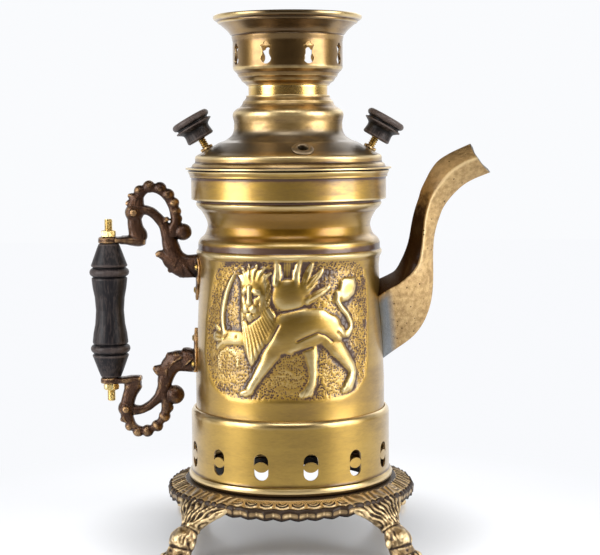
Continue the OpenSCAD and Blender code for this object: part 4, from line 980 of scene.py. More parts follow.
def water_body_skin():
    """The whole shell, meshed closely over the front, where the relief lifts it."""
    whole = soften(sheet(body_path, sheet_wall), 0.3)
    top = max(range(len(whole)), key=lambda i: whole[i][1])
    outer, inner = whole[:top + 1], whole[top + 1:]
    low = step_out([p for p in outer if p[1] <= panel_low - 1], 2.2, closed=False)
    high = step_out([p for p in outer if p[1] >= straight_top], 1.3, closed=False)
    fine_z = np.arange(panel_low, straight_top, row_step)
    outer = low + list(zip(body_r_at(fine_z), fine_z)) + high
    inner = step_out([(r - (drawn_back if 108 < z < 195 else 0), z) for r, z in inner], 6.0, closed=False)
    outline = outer + inner
    depth = np.array(hollows(outline))
    r, z = np.array(outline).T
    fine = np.linspace(-chased_turn, chased_turn, fine_columns)
    rest = np.linspace(chased_turn, 360 - chased_turn, plain_columns + 2)[1:-1]
    turn = np.radians(np.concatenate([fine, rest]) - 90)
    radius = np.tile(r, (len(turn), 1))
    groove_and_shade = np.tile(depth, (len(turn), 1))
    ground = np.zeros_like(radius)
    u = fine * math.pi / 180 * chart_r
    rows = [i for i in range(len(outer)) if panel_low <= z[i] <= panel_high]
    height, punched, ground_darkening, sunken = chased_front(*np.meshgrid(u, z[rows], indexing="ij"))
    height = blurred(height, 1) * 0.55 + height * 0.45
    chased = np.ix_(range(len(u)), rows)
    radius[chased] += height
    ground[chased] = punched
    drawn = height + sunk * sunken
    groove_and_shade[chased] += blurred(drawn, 3) - drawn + ground_darkening
    # A painted dark reflection of the room on the front of the waist, stored as the tint's share.
    painted_front_reflection = np.zeros_like(radius)
    facing = np.clip(-np.sin(turn) * 2.5 - 1.3, 0, 1)[:, None]
    outer_z = z[:len(outer)]
    painted_front_reflection[:, :len(outer)] = facing * np.clip(np.minimum(outer_z - waist_low, waist_high - outer_z) / 5, 0, 1)
    # Darkens the listed bands: brown patina, and painted shade in the narrow lines and the seam.
    for low_z, high_z, band_darkness in shade_and_stain_bands:
        groove_and_shade[:, :len(outer)] += band_darkness * np.clip(np.minimum(outer_z - low_z, high_z - outer_z) / 0.5, 0, 1)
    verts = np.stack([radius * np.cos(turn)[:, None], radius * np.sin(turn)[:, None],
                      np.tile(z, (len(turn), 1))], 2).reshape(-1, 3) * mm
    body = plain_mesh("water_body", verts, grid_faces(len(turn), len(outline)), sharp=60)
    note(body, "hollow_and_shade", groove_and_shade.ravel())
    note(body, "ground", ground.ravel())
    note(body, "tint_and_painted_reflection", 0.95 * painted_front_reflection.ravel())
    return body


def punch_group(look):
    """Strikes small round marks, set at random but evenly spread, into the masked ground."""
    group, given = new_group("punch_marks", Marks_per_metre=690.0, Depth=0.0004)
    place = add_node(group, "GeometryNodeInputPosition").outputs[0]
    mask = add_node(group, "GeometryNodeInputNamedAttribute", {"Name": "ground"},
                    data_type="FLOAT").outputs[0]
    marks = add_node(group, "ShaderNodeTexVoronoi", {"Vector": place, "Scale": given["Marks per metre"],
                     "Randomness": 0.8}).outputs["Distance"]
    rise = sums(group, "MULTIPLY", sums(group, "SUBTRACT", marks, 0.42), mask)
    far = sums(group, "MULTIPLY", rise, given["Depth"])
    facing = add_node(group, "GeometryNodeInputNormal").outputs[0]
    move = add_node(group, "ShaderNodeVectorMath", {0: facing, "Scale": far}, operation="SCALE").outputs[0]
    moved = add_node(group, "GeometryNodeSetPosition",
                     {"Geometry": given["Geometry"], "Offset": move}).outputs[0]
    return end_group(group, moved, look)


# Its tint is the colour of the painted dark reflection on the waist's front.
chased_brass = metal("chased_brass", (0.86, 0.68, 0.34), (0.51, 0.315, 0.060), (0.115, 0.062, 0.040), 0.35,
                     brushed=0.8, punched=True, tint=(0.31, 0.145, 0.004), lacquer=0.85)
body = water_body_skin()
run_group(body, punch_group(chased_brass), Marks_per_metre=690.0, Depth=0.0007)
# Seven holes behind the spout hold the leaves back.
strainer_z, strainer_hole_r, strainer_ring_r = 151.65, 2.5, 8.0
holes = [(0.0, 0.0)] + [(strainer_ring_r * math.sin(k * math.pi / 3),
                         strainer_ring_r * math.cos(k * math.pi / 3))
                        for k in range(6)]
drills = []
for y, z in holes:
    circle = [(y + strainer_hole_r * math.cos(q), strainer_z + z + strainer_hole_r * math.sin(q))
              for q in np.linspace(0, 2 * math.pi, 24, endpoint=False)]
    drills.append(prism("strainer_drill", circle, 55, 75, cut_edge_brass))
drills = joined("strainer_drills", drills)
drills.data.materials.append(cut_edge_brass)
cut(body, drills)
body.data.shade_smooth()
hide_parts("body_shell")
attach(body, "root")

# ---- Reservoir floor, grate and rivets ----
# Inside parts keep their drawn shape: the floor ring that closes the water space round the
# flue, the cast grate on the flue's lip, and the rivets that hold the fire box and brackets.


def dress(name, look):
    """Gives a part that keeps its drawn shape its finish."""
    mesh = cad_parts[name].data
    mesh.materials.clear()
    mesh.materials.append(look)


cast_iron = metal("cast_iron", (0.30, 0.29, 0.28), (0.10, 0.095, 0.09), (0.09, 0.04, 0.02), 0.55, brushed=0.0,
                  grain=0.8)
dress("reservoir_floor", antique_brass)
dress("fire_grate", cast_iron)
dress("stand_rivets", antique_brass)
dress("bracket_rivets", antique_brass)

# ---- Spout ----
# A hollow sand casting of diamond section, soldered on the body. Its foot is filed to the
# body's curve, its sides meet in a rubbed ridge, and its upper facet is dark: brown patina with a painted
# dark reflection of the room.

# Each section's upper edge (x, z) and lower edge (x, z), half its width, and the ridge's place
# between the two edges.
spout_rows = [
    [44.5, 173.9, 40.7, 105.0, 21.0, 0.2], [49.1, 175.7, 48.2, 111, 21.1, 0.2],
    [55.5, 178.3, 58.8, 119.4, 21.2, 0.19], [61.4, 180.8, 68.4, 126.9, 21, 0.18],
    [65.9, 182.7, 75.6, 132, 20.3, 0.16], [69.8, 184.6, 81.7, 136.2, 19.4, 0.16],
    [73.6, 186.8, 86.9, 140.4, 18.1, 0.17], [76.1, 190.0, 90.8, 144.8, 16.7, 0.2],
    [78.0, 193.5, 93.7, 149.2, 15.4, 0.24], [79.8, 197.2, 96.3, 154.4, 14, 0.29],
    [81.4, 201, 98.5, 160.6, 12.6, 0.34], [82.8, 205.0, 100.1, 167.6, 11.1, 0.39],
    [84.0, 209.5, 101.0, 175.9, 10, 0.43], [85.0, 215.0, 101.2, 186.5, 9.4, 0.47],
    [86.0, 221.0, 101.1, 198.3, 9.1, 0.5], [87.3, 226.9, 101.6, 208.9, 9, 0.49],
    [88.9, 232.5, 103.2, 217.3, 8.9, 0.45], [90.8, 238, 105.4, 224.4, 8.9, 0.42],
    [92.5, 243.9, 108, 230.9, 9, 0.42], [95.7, 250.6, 112.3, 237.1, 9.3, 0.43],
    [99.5, 257.7, 117.4, 242.7, 9.6, 0.45], [104.5, 263.9, 123, 247.4, 10, 0.45],
    [112.2, 268.9, 129.7, 251.1, 10.4, 0.43], [121.1, 273.1, 136.9, 254, 10.7, 0.43],
    [126.9, 275.6, 141.0, 255.6, 10.9, 0.43]]
spout_wall, solder_gap = 2.0, 0.12


def spout_lines(rows, around, drawn_in):
    """Lines from foot to lip, one for each place round the section, drawn in by the wall."""
    phi = np.arange(around) * 2 * math.pi / around
    upper, lower = rows[:, :2], rows[:, 2:4]
    reach = np.linalg.norm(lower - upper, axis=1)
    half_w = rows[:, 4] - drawn_in * 1.15
    c, s = np.cos(phi)[None, :], np.sin(phi)[None, :]
    size = (np.abs(c) ** 1.14 + np.abs(s) ** 1.14) ** (-1 / 1.14)
    share = rows[:, 5:6] + np.where(c > 0, -rows[:, 5:6], 1 - rows[:, 5:6]) * np.abs(c) * size
    tight = drawn_in * 1.35 / reach[:, None]
    share = tight + share * (1 - 2 * tight)
    x = upper[:, 0:1] + (lower - upper)[:, 0:1] * share
    z = upper[:, 1:2] + (lower - upper)[:, 1:2] * share
    y = half_w[:, None] * s * size
    clear = np.clip((np.hypot(x, y) - body_r_at(z)) / 8.5, 0, 1)
    y = y * (0.70 + 0.30 * np.sqrt(clear))
    lip = np.linspace(0, 1, len(rows))[:, None] ** 24 * 2.3 * np.abs(s)
    return np.stack([x - 0.87 * lip, y, z - 0.42 * lip], 2), c[0]


def spout_skin(around=112, along=170):
    """The casting's outside and its bore in one skin, from the body's curve to the lip."""
    rows = smooth_run(spout_rows, 10)
    outer, facet = spout_lines(rows, around, 0)
    inner, _ = spout_lines(rows, around, spout_wall)
    grid, notes, greys = [], [], []
    for lines, count, inside_face in ((outer, along, False), (inner, along // 2, True)):
        fitted = np.empty((count, around, 3))
        mark, filed = np.empty((count, around)), np.zeros((count, around))
        for j in range(around):
            p = lines[:, j]
            clear = np.hypot(p[:, 0], p[:, 1]) - body_r_at(p[:, 2]) - solder_gap
            k = int(np.argmax(clear > 0))
            t = -clear[k - 1] / (clear[k] - clear[k - 1])
            kept = np.vstack([p[k - 1] + (p[k] - p[k - 1]) * t, p[k:]])
            run = np.concatenate([[0], np.cumsum(np.linalg.norm(np.diff(kept, axis=0), axis=1))])
            at = np.linspace(0, run[-1], count) if inside_face else run[-1] * np.linspace(0, 1, count) ** 1.1
            for axis in range(3):
                fitted[:, j, axis] = np.interp(at, run, kept[:, axis])
            up_side = np.clip(facet[j] * 8, 0, 1)
            z = fitted[:, j, 2]
            # The upper facet is darker, fading upwards: brown patina and a painted dark reflection of the
            # room.
            dark = up_side * (0.80 - 0.70 * np.clip((z - 205) / 50, 0, 1)) - 0.12
            ridge = np.exp(-(facet[j] / 0.10) ** 2) * np.clip((z - 180) / 20, 0, 1)
            mark[:, j] = 0.8 if inside_face else dark * (1 - ridge) - 0.35 * ridge
            beside = np.clip((10.5 - np.hypot(fitted[:, j, 0], fitted[:, j, 1]) + body_r_at(z)) / 5, 0, 1)
            worn_lip = np.clip((np.linspace(0, 1, count) - 0.994) / 0.006, 0, 1)
            filed[:, j] = 0 if inside_face else np.maximum(beside * np.clip(-facet[j] * 8, 0, 1), worn_lip)
        grid.append(fitted[::-1] if inside_face else fitted)
        notes.append(mark[::-1] if inside_face else mark)
        greys.append(filed[::-1] if inside_face else filed)
    verts = np.vstack(grid).reshape(-1, 3) * mm
    piece = plain_mesh("spout_casting", verts, grid_faces(along + along // 2, around), sharp=24)
    note(piece, "hollow_and_shade", np.vstack(notes).ravel())
    note(piece, "tint_and_painted_reflection", np.vstack(greys).ravel())
    return piece


def outward(piece):
    """The piece with all its faces turned to look out of the metal."""
    work = bmesh.new()
    work.from_mesh(piece.data)
    bmesh.ops.recalc_face_normals(work, faces=work.faces)
    work.to_mesh(piece.data)
    work.free()
    return piece


sand_cast_brass = metal("sand_cast_brass", (0.88, 0.67, 0.36), (0.52, 0.335, 0.14), (0.050, 0.020, 0.006),
                        0.38, brushed=0.0, mottle=260.0, grain=1.0, pits=0.9, tint=(0.34, 0.37, 0.40),
                        uneven=0.35)
spout = outward(spout_skin())
spout.data.materials.append(sand_cast_brass)
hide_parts("spout")
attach(spout, "root")

# ---- Handle brackets ----
# Two bronze castings: a scroll stem with leaf spurs grows from a plate that hugs the body,
# carries a beaded arch with a ball behind it, and ends in a flat lug for the rod.

fullness, leaf_fullness = 1.17, 1.45
plate_half_w, plate_long, plate_out, plate_gap, plate_r = 13, 25, 2.3, 0.1, 66
lug_h, lug_bore_r = 4.5, 3.12


def bar(rows, around=20):
    """A bar that stands in the XZ plane, from rows of (x, z, half width, half depth)."""
    leaf = leaf_fullness if rows[-1][2] < 2 else 1.0
    rows = smooth_run(rows, 5) * (1, 1, fullness * leaf, 1.1 * leaf)
    heading = np.gradient(rows[:, :2], axis=0)
    heading /= np.linalg.norm(heading, axis=1)[:, None]
    phi = np.arange(around) * 2 * math.pi / around
    c, s = np.cos(phi), np.sin(phi)
    round_c, round_s = np.sign(c) * np.abs(c) ** 0.85, np.sign(s) * np.abs(s) ** 0.85
    rings = []
    for (x, z, half_w, half_d), (hx, hz) in zip(rows, heading):
        rings.append(np.stack([x - hz * half_w * round_c, half_d * round_s, z + hx * half_w * round_c], 1))
    return skin("bar", rings)


def mount_plate(root_z, side):
    """The leaf-shaped plate on the body, pointed towards the other bracket."""
    rings = []
    for t in np.concatenate([[-0.24, -0.12], np.linspace(0, 0.97, 14)]):
        half_w = plate_half_w + 12 * t if t < 0 else plate_half_w * (1 - t ** 1.6)
        z = root_z - side * plate_long * t
        across = np.linspace(-1, 1, 15)
        turn = across * half_w / plate_r
        rim = 0.9 * np.clip((np.abs(across) - 0.8) / 0.2, 0, 1)
        r = float(body_r_at(z))
        front = [(-(r + plate_out - e) * math.cos(q), -(r + plate_out - e) * math.sin(q), z)
                 for q, e in zip(turn, rim)]
        back = [(-(r + plate_gap) * math.cos(q), -(r + plate_gap) * math.sin(q), z) for q in turn[::-1]]
        rings.append(front + back)
    return skin("plate", rings)


# Bars of (x, z, half width, half depth) and balls of (x, z, radius), in mm.
upper_bars = [
    [(-62.5, 192.0, 6.8, 5.5), (-68.9, 191.7, 6.6, 5.2), (-73.9, 192.5, 6.3, 5), (-78.5, 195.4, 6.0, 4.8),
     (-81.5, 200.4, 5.4, 4.5), (-83.1, 206.2, 5.1, 4.3), (-84.5, 211.9, 4.4, 4.2), (-86.5, 217.7, 3.6, 4),
     (-89.2, 222.3, 3.1, 3.8), (-92.3, 226.2, 2.9, 3.6), (-96.2, 229.4, 2.9, 3.6),
     (-100.8, 230.9, 3.0, 3.8), (-104.8, 230.3, 3.6, 4)],
    [(-82.2, 213.0, 4.3, 4.2), (-80.3, 218.7, 3.6, 4.2), (-78.9, 223.0, 3.2, 4), (-79.4, 227.3, 3.0, 3.6),
     (-80.8, 232.3, 2.9, 3.4), (-82.9, 236.6, 2.7, 3.2), (-85.3, 240.3, 2.6, 3.2), (-88.8, 243.6, 2.6, 3.2),
     (-93.1, 245.5, 2.4, 3.2), (-97.4, 246.0, 2.4, 3.2), (-101.3, 244.2, 2.6, 3.4),
     (-104.2, 240.7, 2.9, 3.6), (-105.0, 236.0, 3.3, 4), (-106.2, 231.0, 3.6, 4)],
    [(-106.9, 237.5, 4.4, 3.8), (-107.9, 233.2, 4.4, 4.2), (-108.4, 228.2, 4.3, 4.6),
     (-108.0, 223.2, 4.3, 4.4), (-107.3, 218.2, 4.7, 4.4), (-106.0, 213.9, 5.7, 4.8),
     (-104.8, 210.4, 5.0, 5.2), (-104.4, 208.4, 2.9, 5)],
    [(-100.5, 208.9, 2.2, 5.2), (-104.4, 209.4, 3.6, 5.4), (-109.4, 209.7, 3.4, 5.6),
     (-115.1, 209.8, 2.7, 6), (-121.4, 209.95, 2.2, 6.6)],
    [(-106.1, 238.2, 2.9, 3), (-109.9, 240.2, 1.7, 2), (-112.6, 241.4, 0.6, 1)],
    [(-106.8, 235.3, 3.0, 3), (-111.1, 235.5, 2.1, 2), (-114.2, 235.5, 0.6, 1)],
    [(-107.2, 231.8, 2.9, 3), (-110.1, 232.3, 1.7, 2), (-112.3, 232.1, 0.6, 1)],
    [(-78.9, 193.9, 4.3, 3.6), (-83.1, 195.8, 3.7, 3), (-87.4, 198.8, 2.4, 2.2), (-91.3, 199.7, 1.6, 1.6),
     (-93.7, 198.9, 0.8, 1)],
    [(-74.6, 189.9, 4.3, 3.6), (-79.6, 189.6, 3.1, 3), (-82.9, 188.9, 1.7, 2), (-85.0, 187.4, 0.7, 1)],
    [(-71.0, 189.9, 5.0, 4), (-74.7, 187.1, 3.1, 3), (-78.1, 184.6, 1.1, 1.4)],
    [(-85.6, 223.0, 1.9, 3), (-86.4, 225.8, 0.9, 2)]]
upper_balls = [(-104.0, 244.2, 3.4), (-97.6, 247.2, 3.6), (-89.9, 246.1, 3.7), (-84.5, 241.4, 3.7),
               (-80.7, 235.4, 3.4), (-79.2, 229.8, 3.2), (-78.4, 224.4, 3.1), (-74.3, 215.4, 5.0),
               (-108.2, 229.0, 5.4)]
lower_bars = [
    [(-62.5, 122.3, 5.7, 5.5), (-69.3, 122.5, 5.6, 5.2), (-74.0, 123.3, 5.8, 5), (-78.7, 124.2, 6.5, 5),
     (-82.8, 122.2, 6.3, 4.8), (-85.7, 118.3, 5.7, 4.6), (-87.3, 114.2, 5.2, 4.5), (-88.6, 109.5, 4.5, 4.3),
     (-89.6, 104.7, 4.1, 4.2), (-91.4, 100.6, 3.7, 4), (-94.3, 97.0, 3.1, 3.8), (-97.9, 93.8, 2.7, 3.6),
     (-102.1, 91.0, 2.6, 3.6), (-106.2, 89.5, 2.8, 3.8), (-110.9, 89.4, 3.3, 4)],
    [(-89.5, 102.4, 3.8, 4.2), (-87.6, 96.4, 3.5, 4.2), (-87.5, 91.6, 3.3, 4), (-88.6, 86.9, 2.8, 3.6),
     (-91.3, 82.1, 2.4, 3.4), (-94.6, 78.5, 2.3, 3.2), (-98.8, 75.5, 2.3, 3.2), (-103.5, 74.6, 2.2, 3.2),
     (-108.2, 75.6, 2.3, 3.2), (-111.7, 78.2, 2.4, 3.4), (-114.0, 82.3, 2.9, 3.6), (-115.5, 86.5, 3.4, 4)],
    [(-116.3, 84.1, 3.3, 3.8), (-116.1, 88.3, 3.8, 4.4), (-115.4, 93.0, 4.2, 4.4), (-114.2, 97.8, 4.2, 4.2),
     (-113.0, 101.9, 4.4, 4.2), (-111.2, 106.1, 5.1, 4.5), (-108.8, 109.6, 4.6, 5),
     (-106.7, 111.4, 2.4, 5)],
    [(-104.9, 112.2, 1.4, 5.2), (-108.2, 111.6, 2.3, 5.4), (-112.9, 111.0, 2.5, 5.6),
     (-118.2, 110.8, 2.2, 6), (-123.4, 110.8, 2.2, 6.4)],
    [(-116.9, 83.5, 2.9, 3), (-119.0, 82.6, 1.5, 2), (-120.6, 82.1, 0.6, 1)],
    [(-86.4, 116.6, 4.1, 3.6), (-90.5, 117.2, 3.0, 3), (-94.0, 118.3, 2.1, 2.2), (-96.7, 119.6, 0.8, 1)],
    [(-83.4, 121.3, 4.1, 3.6), (-86.9, 123.1, 2.7, 3), (-89.2, 124.2, 1.0, 1.4)],
    [(-81.0, 124.8, 4.7, 3.8), (-84.5, 127.2, 2.7, 3), (-87.4, 128.9, 0.9, 1.4)],
    [(-78.6, 125.4, 5.2, 4.4), (-80.5, 129.0, 3.0, 3.6), (-80.9, 131.2, 1.2, 2)],
    [(-70.0, 124.6, 5.0, 5.0), (-73.6, 128.6, 3.6, 4.0), (-76.8, 131.0, 1.6, 2.4)]]
lower_balls = [(-86.1, 90.7, 2.9), (-89.2, 84.5, 3.4), (-94.5, 77.9, 3.5), (-101.3, 74.2, 3.5),
               (-108.1, 74.0, 3.4), (-113.8, 77.9, 3.0), (-117.1, 83.5, 2.7), (-81.6, 100.0, 5.5),
               (-115.9, 90.6, 5.0)]
rod_x = -126.5
handle_bronze = metal("handle_bronze", (0.72, 0.44, 0.20), (0.085, 0.043, 0.026), (0.014, 0.008, 0.006), 0.30,
                      brushed=0.0, mottle=110.0, grain=0.8, wear=0.7, reach=0.7)


def drill(x, r, z_from, z_to, look):
    """A round bar along Z, in mm, to be used as a cutter."""
    a = np.arange(32) * 2 * math.pi / 32
    rings = [np.stack([x + r * np.cos(a), r * np.sin(a), np.full(32, z)], 1) for z in (z_from, z_to)]
    tool = skin("drill", rings)
    tool.data.materials.append(look)
    return tool


def bracket(name, node, bars, balls, root_z, side, lug_z):
    """One casting, melted together from its parts and fitted to the body, the rod and the grip."""
    parts = [bar(rows) for rows in bars]
    for x, z, r in balls:
        parts.append(ellipsoid((x, 0, z), (r * fullness * 1.06, r * 1.1 + 0.7, r * fullness * 1.06), 24, 12))
    parts.append(mount_plate(root_z, side))
    # The boss on the neck has a raised ring with a bead in its middle, on both faces.
    x, z, r = balls[-1]
    for y in (-1, 1):
        parts.append(ellipsoid((x, y * 6.2, z), (r * 0.5, 1.6, r * 0.5), 18, 10))
    a = np.arange(40) * 2 * math.pi / 40
    rings = [np.stack([rod_x + k * np.cos(a), k * np.sin(a), np.full(40, lug_z + h)], 1)
             for k, h in ((6.6, 0.1), (7.4, 0.7), (7.4, 3.6), (6.7, 4.4))]
    parts.append(skin("lug", rings))
    piece = joined(name, parts)
    cast_whole(piece, 0.42, rounds=4)
    lumpy(piece, size=8.0, depth=0.13, seed=len(balls))
    at = spots_of(piece) / mm
    r, clear = np.hypot(at[:, 0], at[:, 1]), body_r_at(at[:, 2]) + plate_gap
    push = np.where(r < clear, clear / np.maximum(r, 1), 1)
    at[:, :2] *= push[:, None]
    by_grip = (np.hypot(at[:, 0] - rod_x, at[:, 1]) < 9.5) & (np.abs(at[:, 2] - lug_z - lug_h / 2) < 6)
    at[:, 2] = np.where(by_grip, np.clip(at[:, 2], lug_z, lug_z + lug_h), at[:, 2])
    piece.data.vertices.foreach_set("co", (at * mm).astype(np.float32).ravel())
    piece.data.update()
    mark_hollows(piece, 10, calm=4)
    piece.data.materials.clear()
    piece.data.materials.append(handle_bronze)
    cut(piece, drill(rod_x, lug_bore_r, lug_z - 2, lug_z + lug_h + 2, handle_bronze))
    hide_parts(node)
    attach(piece, "root")


bracket("bracket_upper", "handle_bracket_upper", upper_bars, upper_balls, root_z=191.4, side=1, lug_z=207.7)
bracket("bracket_lower", "handle_bracket_lower", lower_bars, lower_balls, root_z=123.4, side=-1, lug_z=108.6)

# ---- Handle rod and nuts ----
# An M6 rod of bright brass with rolled threads at both ends, through both lugs and the grip,
# held by a hexagon nut at each end.


def thread_group(look):
    """Cuts a thread into the two ends of a plain rod: below the low end and above the high start."""
    group, given = new_group("rolled_thread", Pitch=0.001, Depth=0.0003, Low_end=0.0, High_start=0.0)
    place = add_node(group, "GeometryNodeInputPosition").outputs[0]
    xyz = add_node(group, "ShaderNodeSeparateXYZ", {0: place}).outputs
    x, y = xyz["X"], xyz["Y"]
    turn = sums(group, "DIVIDE", sums(group, "ARCTAN2", y, x), 2 * math.pi)
    lead = sums(group, "SUBTRACT", sums(group, "DIVIDE", xyz["Z"], given["Pitch"]), turn)
    tooth = sums(group, "PINGPONG", lead, 0.5)
    below = sums(group, "LESS_THAN", xyz["Z"], given["Low end"])
    above = sums(group, "GREATER_THAN", xyz["Z"], given["High start"])
    on = sums(group, "MAXIMUM", below, above)
    deep = sums(group, "MULTIPLY", sums(group, "MULTIPLY", tooth, on), given["Depth"])
    radius = sums(group, "SQRT", sums(group, "MULTIPLY_ADD", x, x, sums(group, "MULTIPLY", y, y)))
    scale = sums(group, "DIVIDE", sums(group, "MULTIPLY", deep, -2.0), sums(group, "MAXIMUM", radius, 0.001))
    inward = add_node(group, "ShaderNodeCombineXYZ", {0: sums(group, "MULTIPLY", x, scale),
                      1: sums(group, "MULTIPLY", y, scale)}).outputs[0]
    moved = add_node(group, "GeometryNodeSetPosition",
                     {"Geometry": given["Geometry"], "Offset": inward}).outputs[0]
    hollow_and_shade = sums(group, "MULTIPLY_ADD", deep, 1500.0, sums(group, "MULTIPLY", on, -0.2))
    kept = add_node(group, "GeometryNodeStoreNamedAttribute",
                    {"Geometry": moved, "Name": "hollow_and_shade", "Value": hollow_and_shade},
                    data_type="FLOAT", domain="POINT").outputs[0]
    return end_group(group, kept, look)


def lathe_rod(name, stretches, r, chamfer=0.6, around=40):
    """A rod along Z with chamfered ends, ringed at each stretch's own step: (from, to, step)."""
    outline = [(0.0, stretches[0][0]), (r - chamfer, stretches[0][0])]
    for low, high, step in stretches:
        start = low + (chamfer if low == stretches[0][0] else step)
        outline += [(r, z) for z in np.arange(start, high - chamfer / 2, step)]
    outline += [(r - chamfer, stretches[-1][1]), (0.0, stretches[-1][1])]
    a = np.arange(around) * 2 * math.pi / around
    middle = outline[1:-1]
    verts = [(0, 0, outline[0][1])]
    for rr, z in middle:
        verts += [(rr * math.cos(q), rr * math.sin(q), z) for q in a]
    verts.append((0, 0, outline[-1][1]))
    return plain_mesh(name, np.array(verts) * mm, pole_faces(len(middle), around), sharp=35)


def shifted(piece, matrix):
    """The matrix worked into the mesh, so that the piece stays unturned at the origin."""
    piece.data.transform(matrix)
    piece.data.update()
    return piece


def hex_nut(name, across, height, bore, around=96):
    """A hexagon nut on the origin with chamfered corners and a countersunk bore, in mm."""
    q = np.arange(around) * 2 * math.pi / around
    flat = across / 2 / np.cos((q + math.pi / 6) % (math.pi / 3) - math.pi / 6)
    rings = []
    for z, cone in ((0, 0.47), (0.35, 0.53), (height * 0.5, 0.60), (height - 0.35, 0.53), (height, 0.47)):
        r = np.minimum(flat, across * cone)
        rings.append(np.stack([r * np.cos(q), r * np.sin(q), np.full(around, z)], 1))
    for z, r in ((height, bore + 0.45), (height - 0.4, bore), (0.4, bore), (0, bore + 0.45)):
        rings.append(np.stack([r * np.cos(q), r * np.sin(q), np.full(around, z)], 1))
    rings = np.array(rings)
    nut = plain_mesh(name, rings.reshape(-1, 3) * mm, [f[::-1] for f in grid_faces(len(rings), around)],
                     sharp=25)
    edge = np.clip((np.hypot(rings[..., 0], rings[..., 1]) - across * 0.5) * 0.9, 0, 0.5)
    note(nut, "hollow_and_shade", -edge.ravel())
    return nut


yellow_brass = metal("yellow_brass", (1.0, 0.84, 0.44), (0.90, 0.68, 0.26), (0.22, 0.12, 0.03), 0.22,
                     patina=0.8, brushed=0.0, grain=0.3)
to_rod = Matrix.Translation((rod_x * mm, 0, 0))
rod = lathe_rod("rod_threaded", [(96.1, 120.0, 0.2), (120.0, 202.0, 4.0), (202.0, 224.7, 0.2)], 3.0)
run_group(rod, thread_group(yellow_brass), Pitch=0.001, Depth=0.0006, Low_end=0.1187, High_start=0.2030)
outward(shifted(rod, to_rod))
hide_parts("handle_rod")
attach(rod, "root")
placed = [to_rod @ Matrix.Translation((0, 0, z * mm)) @ Matrix.Rotation(math.radians(turn), 4, "Z")
          for z, turn in ((212.2, 8), (104.1, 21))]
nuts = joined("rod_hex_nuts", [shifted(hex_nut("nut", 10.0, 4.5, 3.05), place) for place in placed])
outward(nuts)
nuts.data.set_sharp_from_angle(angle=math.radians(25))
nuts.data.materials.clear()
nuts.data.materials.append(yellow_brass)
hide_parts("rod_nuts")
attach(nuts, "root")

# ---- Grip ----
# Turned from one length of dark stained hardwood, with a ring between two grooves near each
# end. It is bored through and turns freely on the rod.


def wood(name, dark, light, axis=(0.0, 0.0), turned_at=False):
    """Dark stained wood with its grain along the turning axis and its edges worn lighter."""
    look = bpy.data.materials.new(name)
    look.use_nodes = True
    tree = look.node_tree
    tree.nodes.clear()
    if turned_at:
        place = add_node(tree, "ShaderNodeAttribute", attribute_name="turned_at").outputs["Vector"]
    else:
        place = add_node(tree, "ShaderNodeTexCoord").outputs["Object"]
    local = add_node(tree, "ShaderNodeMapping", {"Vector": place,
                                                 "Location": (-axis[0], -axis[1], 0)}).outputs[0]
    stretched = add_node(tree, "ShaderNodeMapping", {"Vector": local, "Scale": (1.0, 1.0, 0.10)}).outputs[0]
    grain = add_node(tree, "ShaderNodeTexNoise", {"Vector": stretched, "Scale": 850.0, "Detail": 4.0,
                     "Roughness": 0.6, "Distortion": 0.3}).outputs["Fac"]
    rings = add_node(tree, "ShaderNodeTexNoise", {"Vector": stretched, "Scale": 160.0,
                                                  "Detail": 3.0}).outputs["Fac"]
    cuts = add_node(tree, "ShaderNodeMapping", {"Vector": local, "Scale": (0.1, 0.1, 1.0)}).outputs[0]
    tool = add_node(tree, "ShaderNodeTexNoise", {"Vector": cuts, "Scale": 1500.0,
                                                 "Detail": 1.0}).outputs["Fac"]
    patches = add_node(tree, "ShaderNodeTexNoise", {"Vector": local, "Scale": 70.0,
                                                    "Detail": 4.0}).outputs["Fac"]
    groove_and_shade = add_node(tree, "ShaderNodeAttribute", attribute_name="hollow_and_shade").outputs["Fac"]
    worn = ramp(tree, sums(tree, "MULTIPLY_ADD", patches, -0.5, sums(tree, "MULTIPLY", groove_and_shade, -1.0)), -0.12,
                0.16)
    streak = ramp(tree, sums(tree, "ADD", grain, sums(tree, "MULTIPLY", rings, 0.6)), 0.70, 0.95)
    share = sums(tree, "MULTIPLY_ADD", worn, 0.75, sums(tree, "MULTIPLY", streak, 0.55), clamp=True)
    shade = blended(tree, share, (*dark, 1), (*light, 1))
    deep = ramp(tree, groove_and_shade, 0.05, 0.35)
    shade = blended(tree, deep, shade, tuple(0.35 * c for c in dark) + (1,))
    height = sums(tree, "MULTIPLY_ADD", grain, 0.7, sums(tree, "MULTIPLY", tool, 0.5))
    normal = add_node(tree, "ShaderNodeBump", {"Height": height, "Strength": 0.5,
                                               "Distance": 0.0003}).outputs[0]
    gloss = sums(tree, "MULTIPLY_ADD", grain, 0.25, 0.32)
    shader = add_node(tree, "ShaderNodeBsdfPrincipled", {"Base Color": shade, "Roughness": gloss,
                      "Normal": normal, "Specular IOR Level": 0.28})
    add_node(tree, "ShaderNodeOutputMaterial", {"Surface": shader.outputs[0]})
    return look


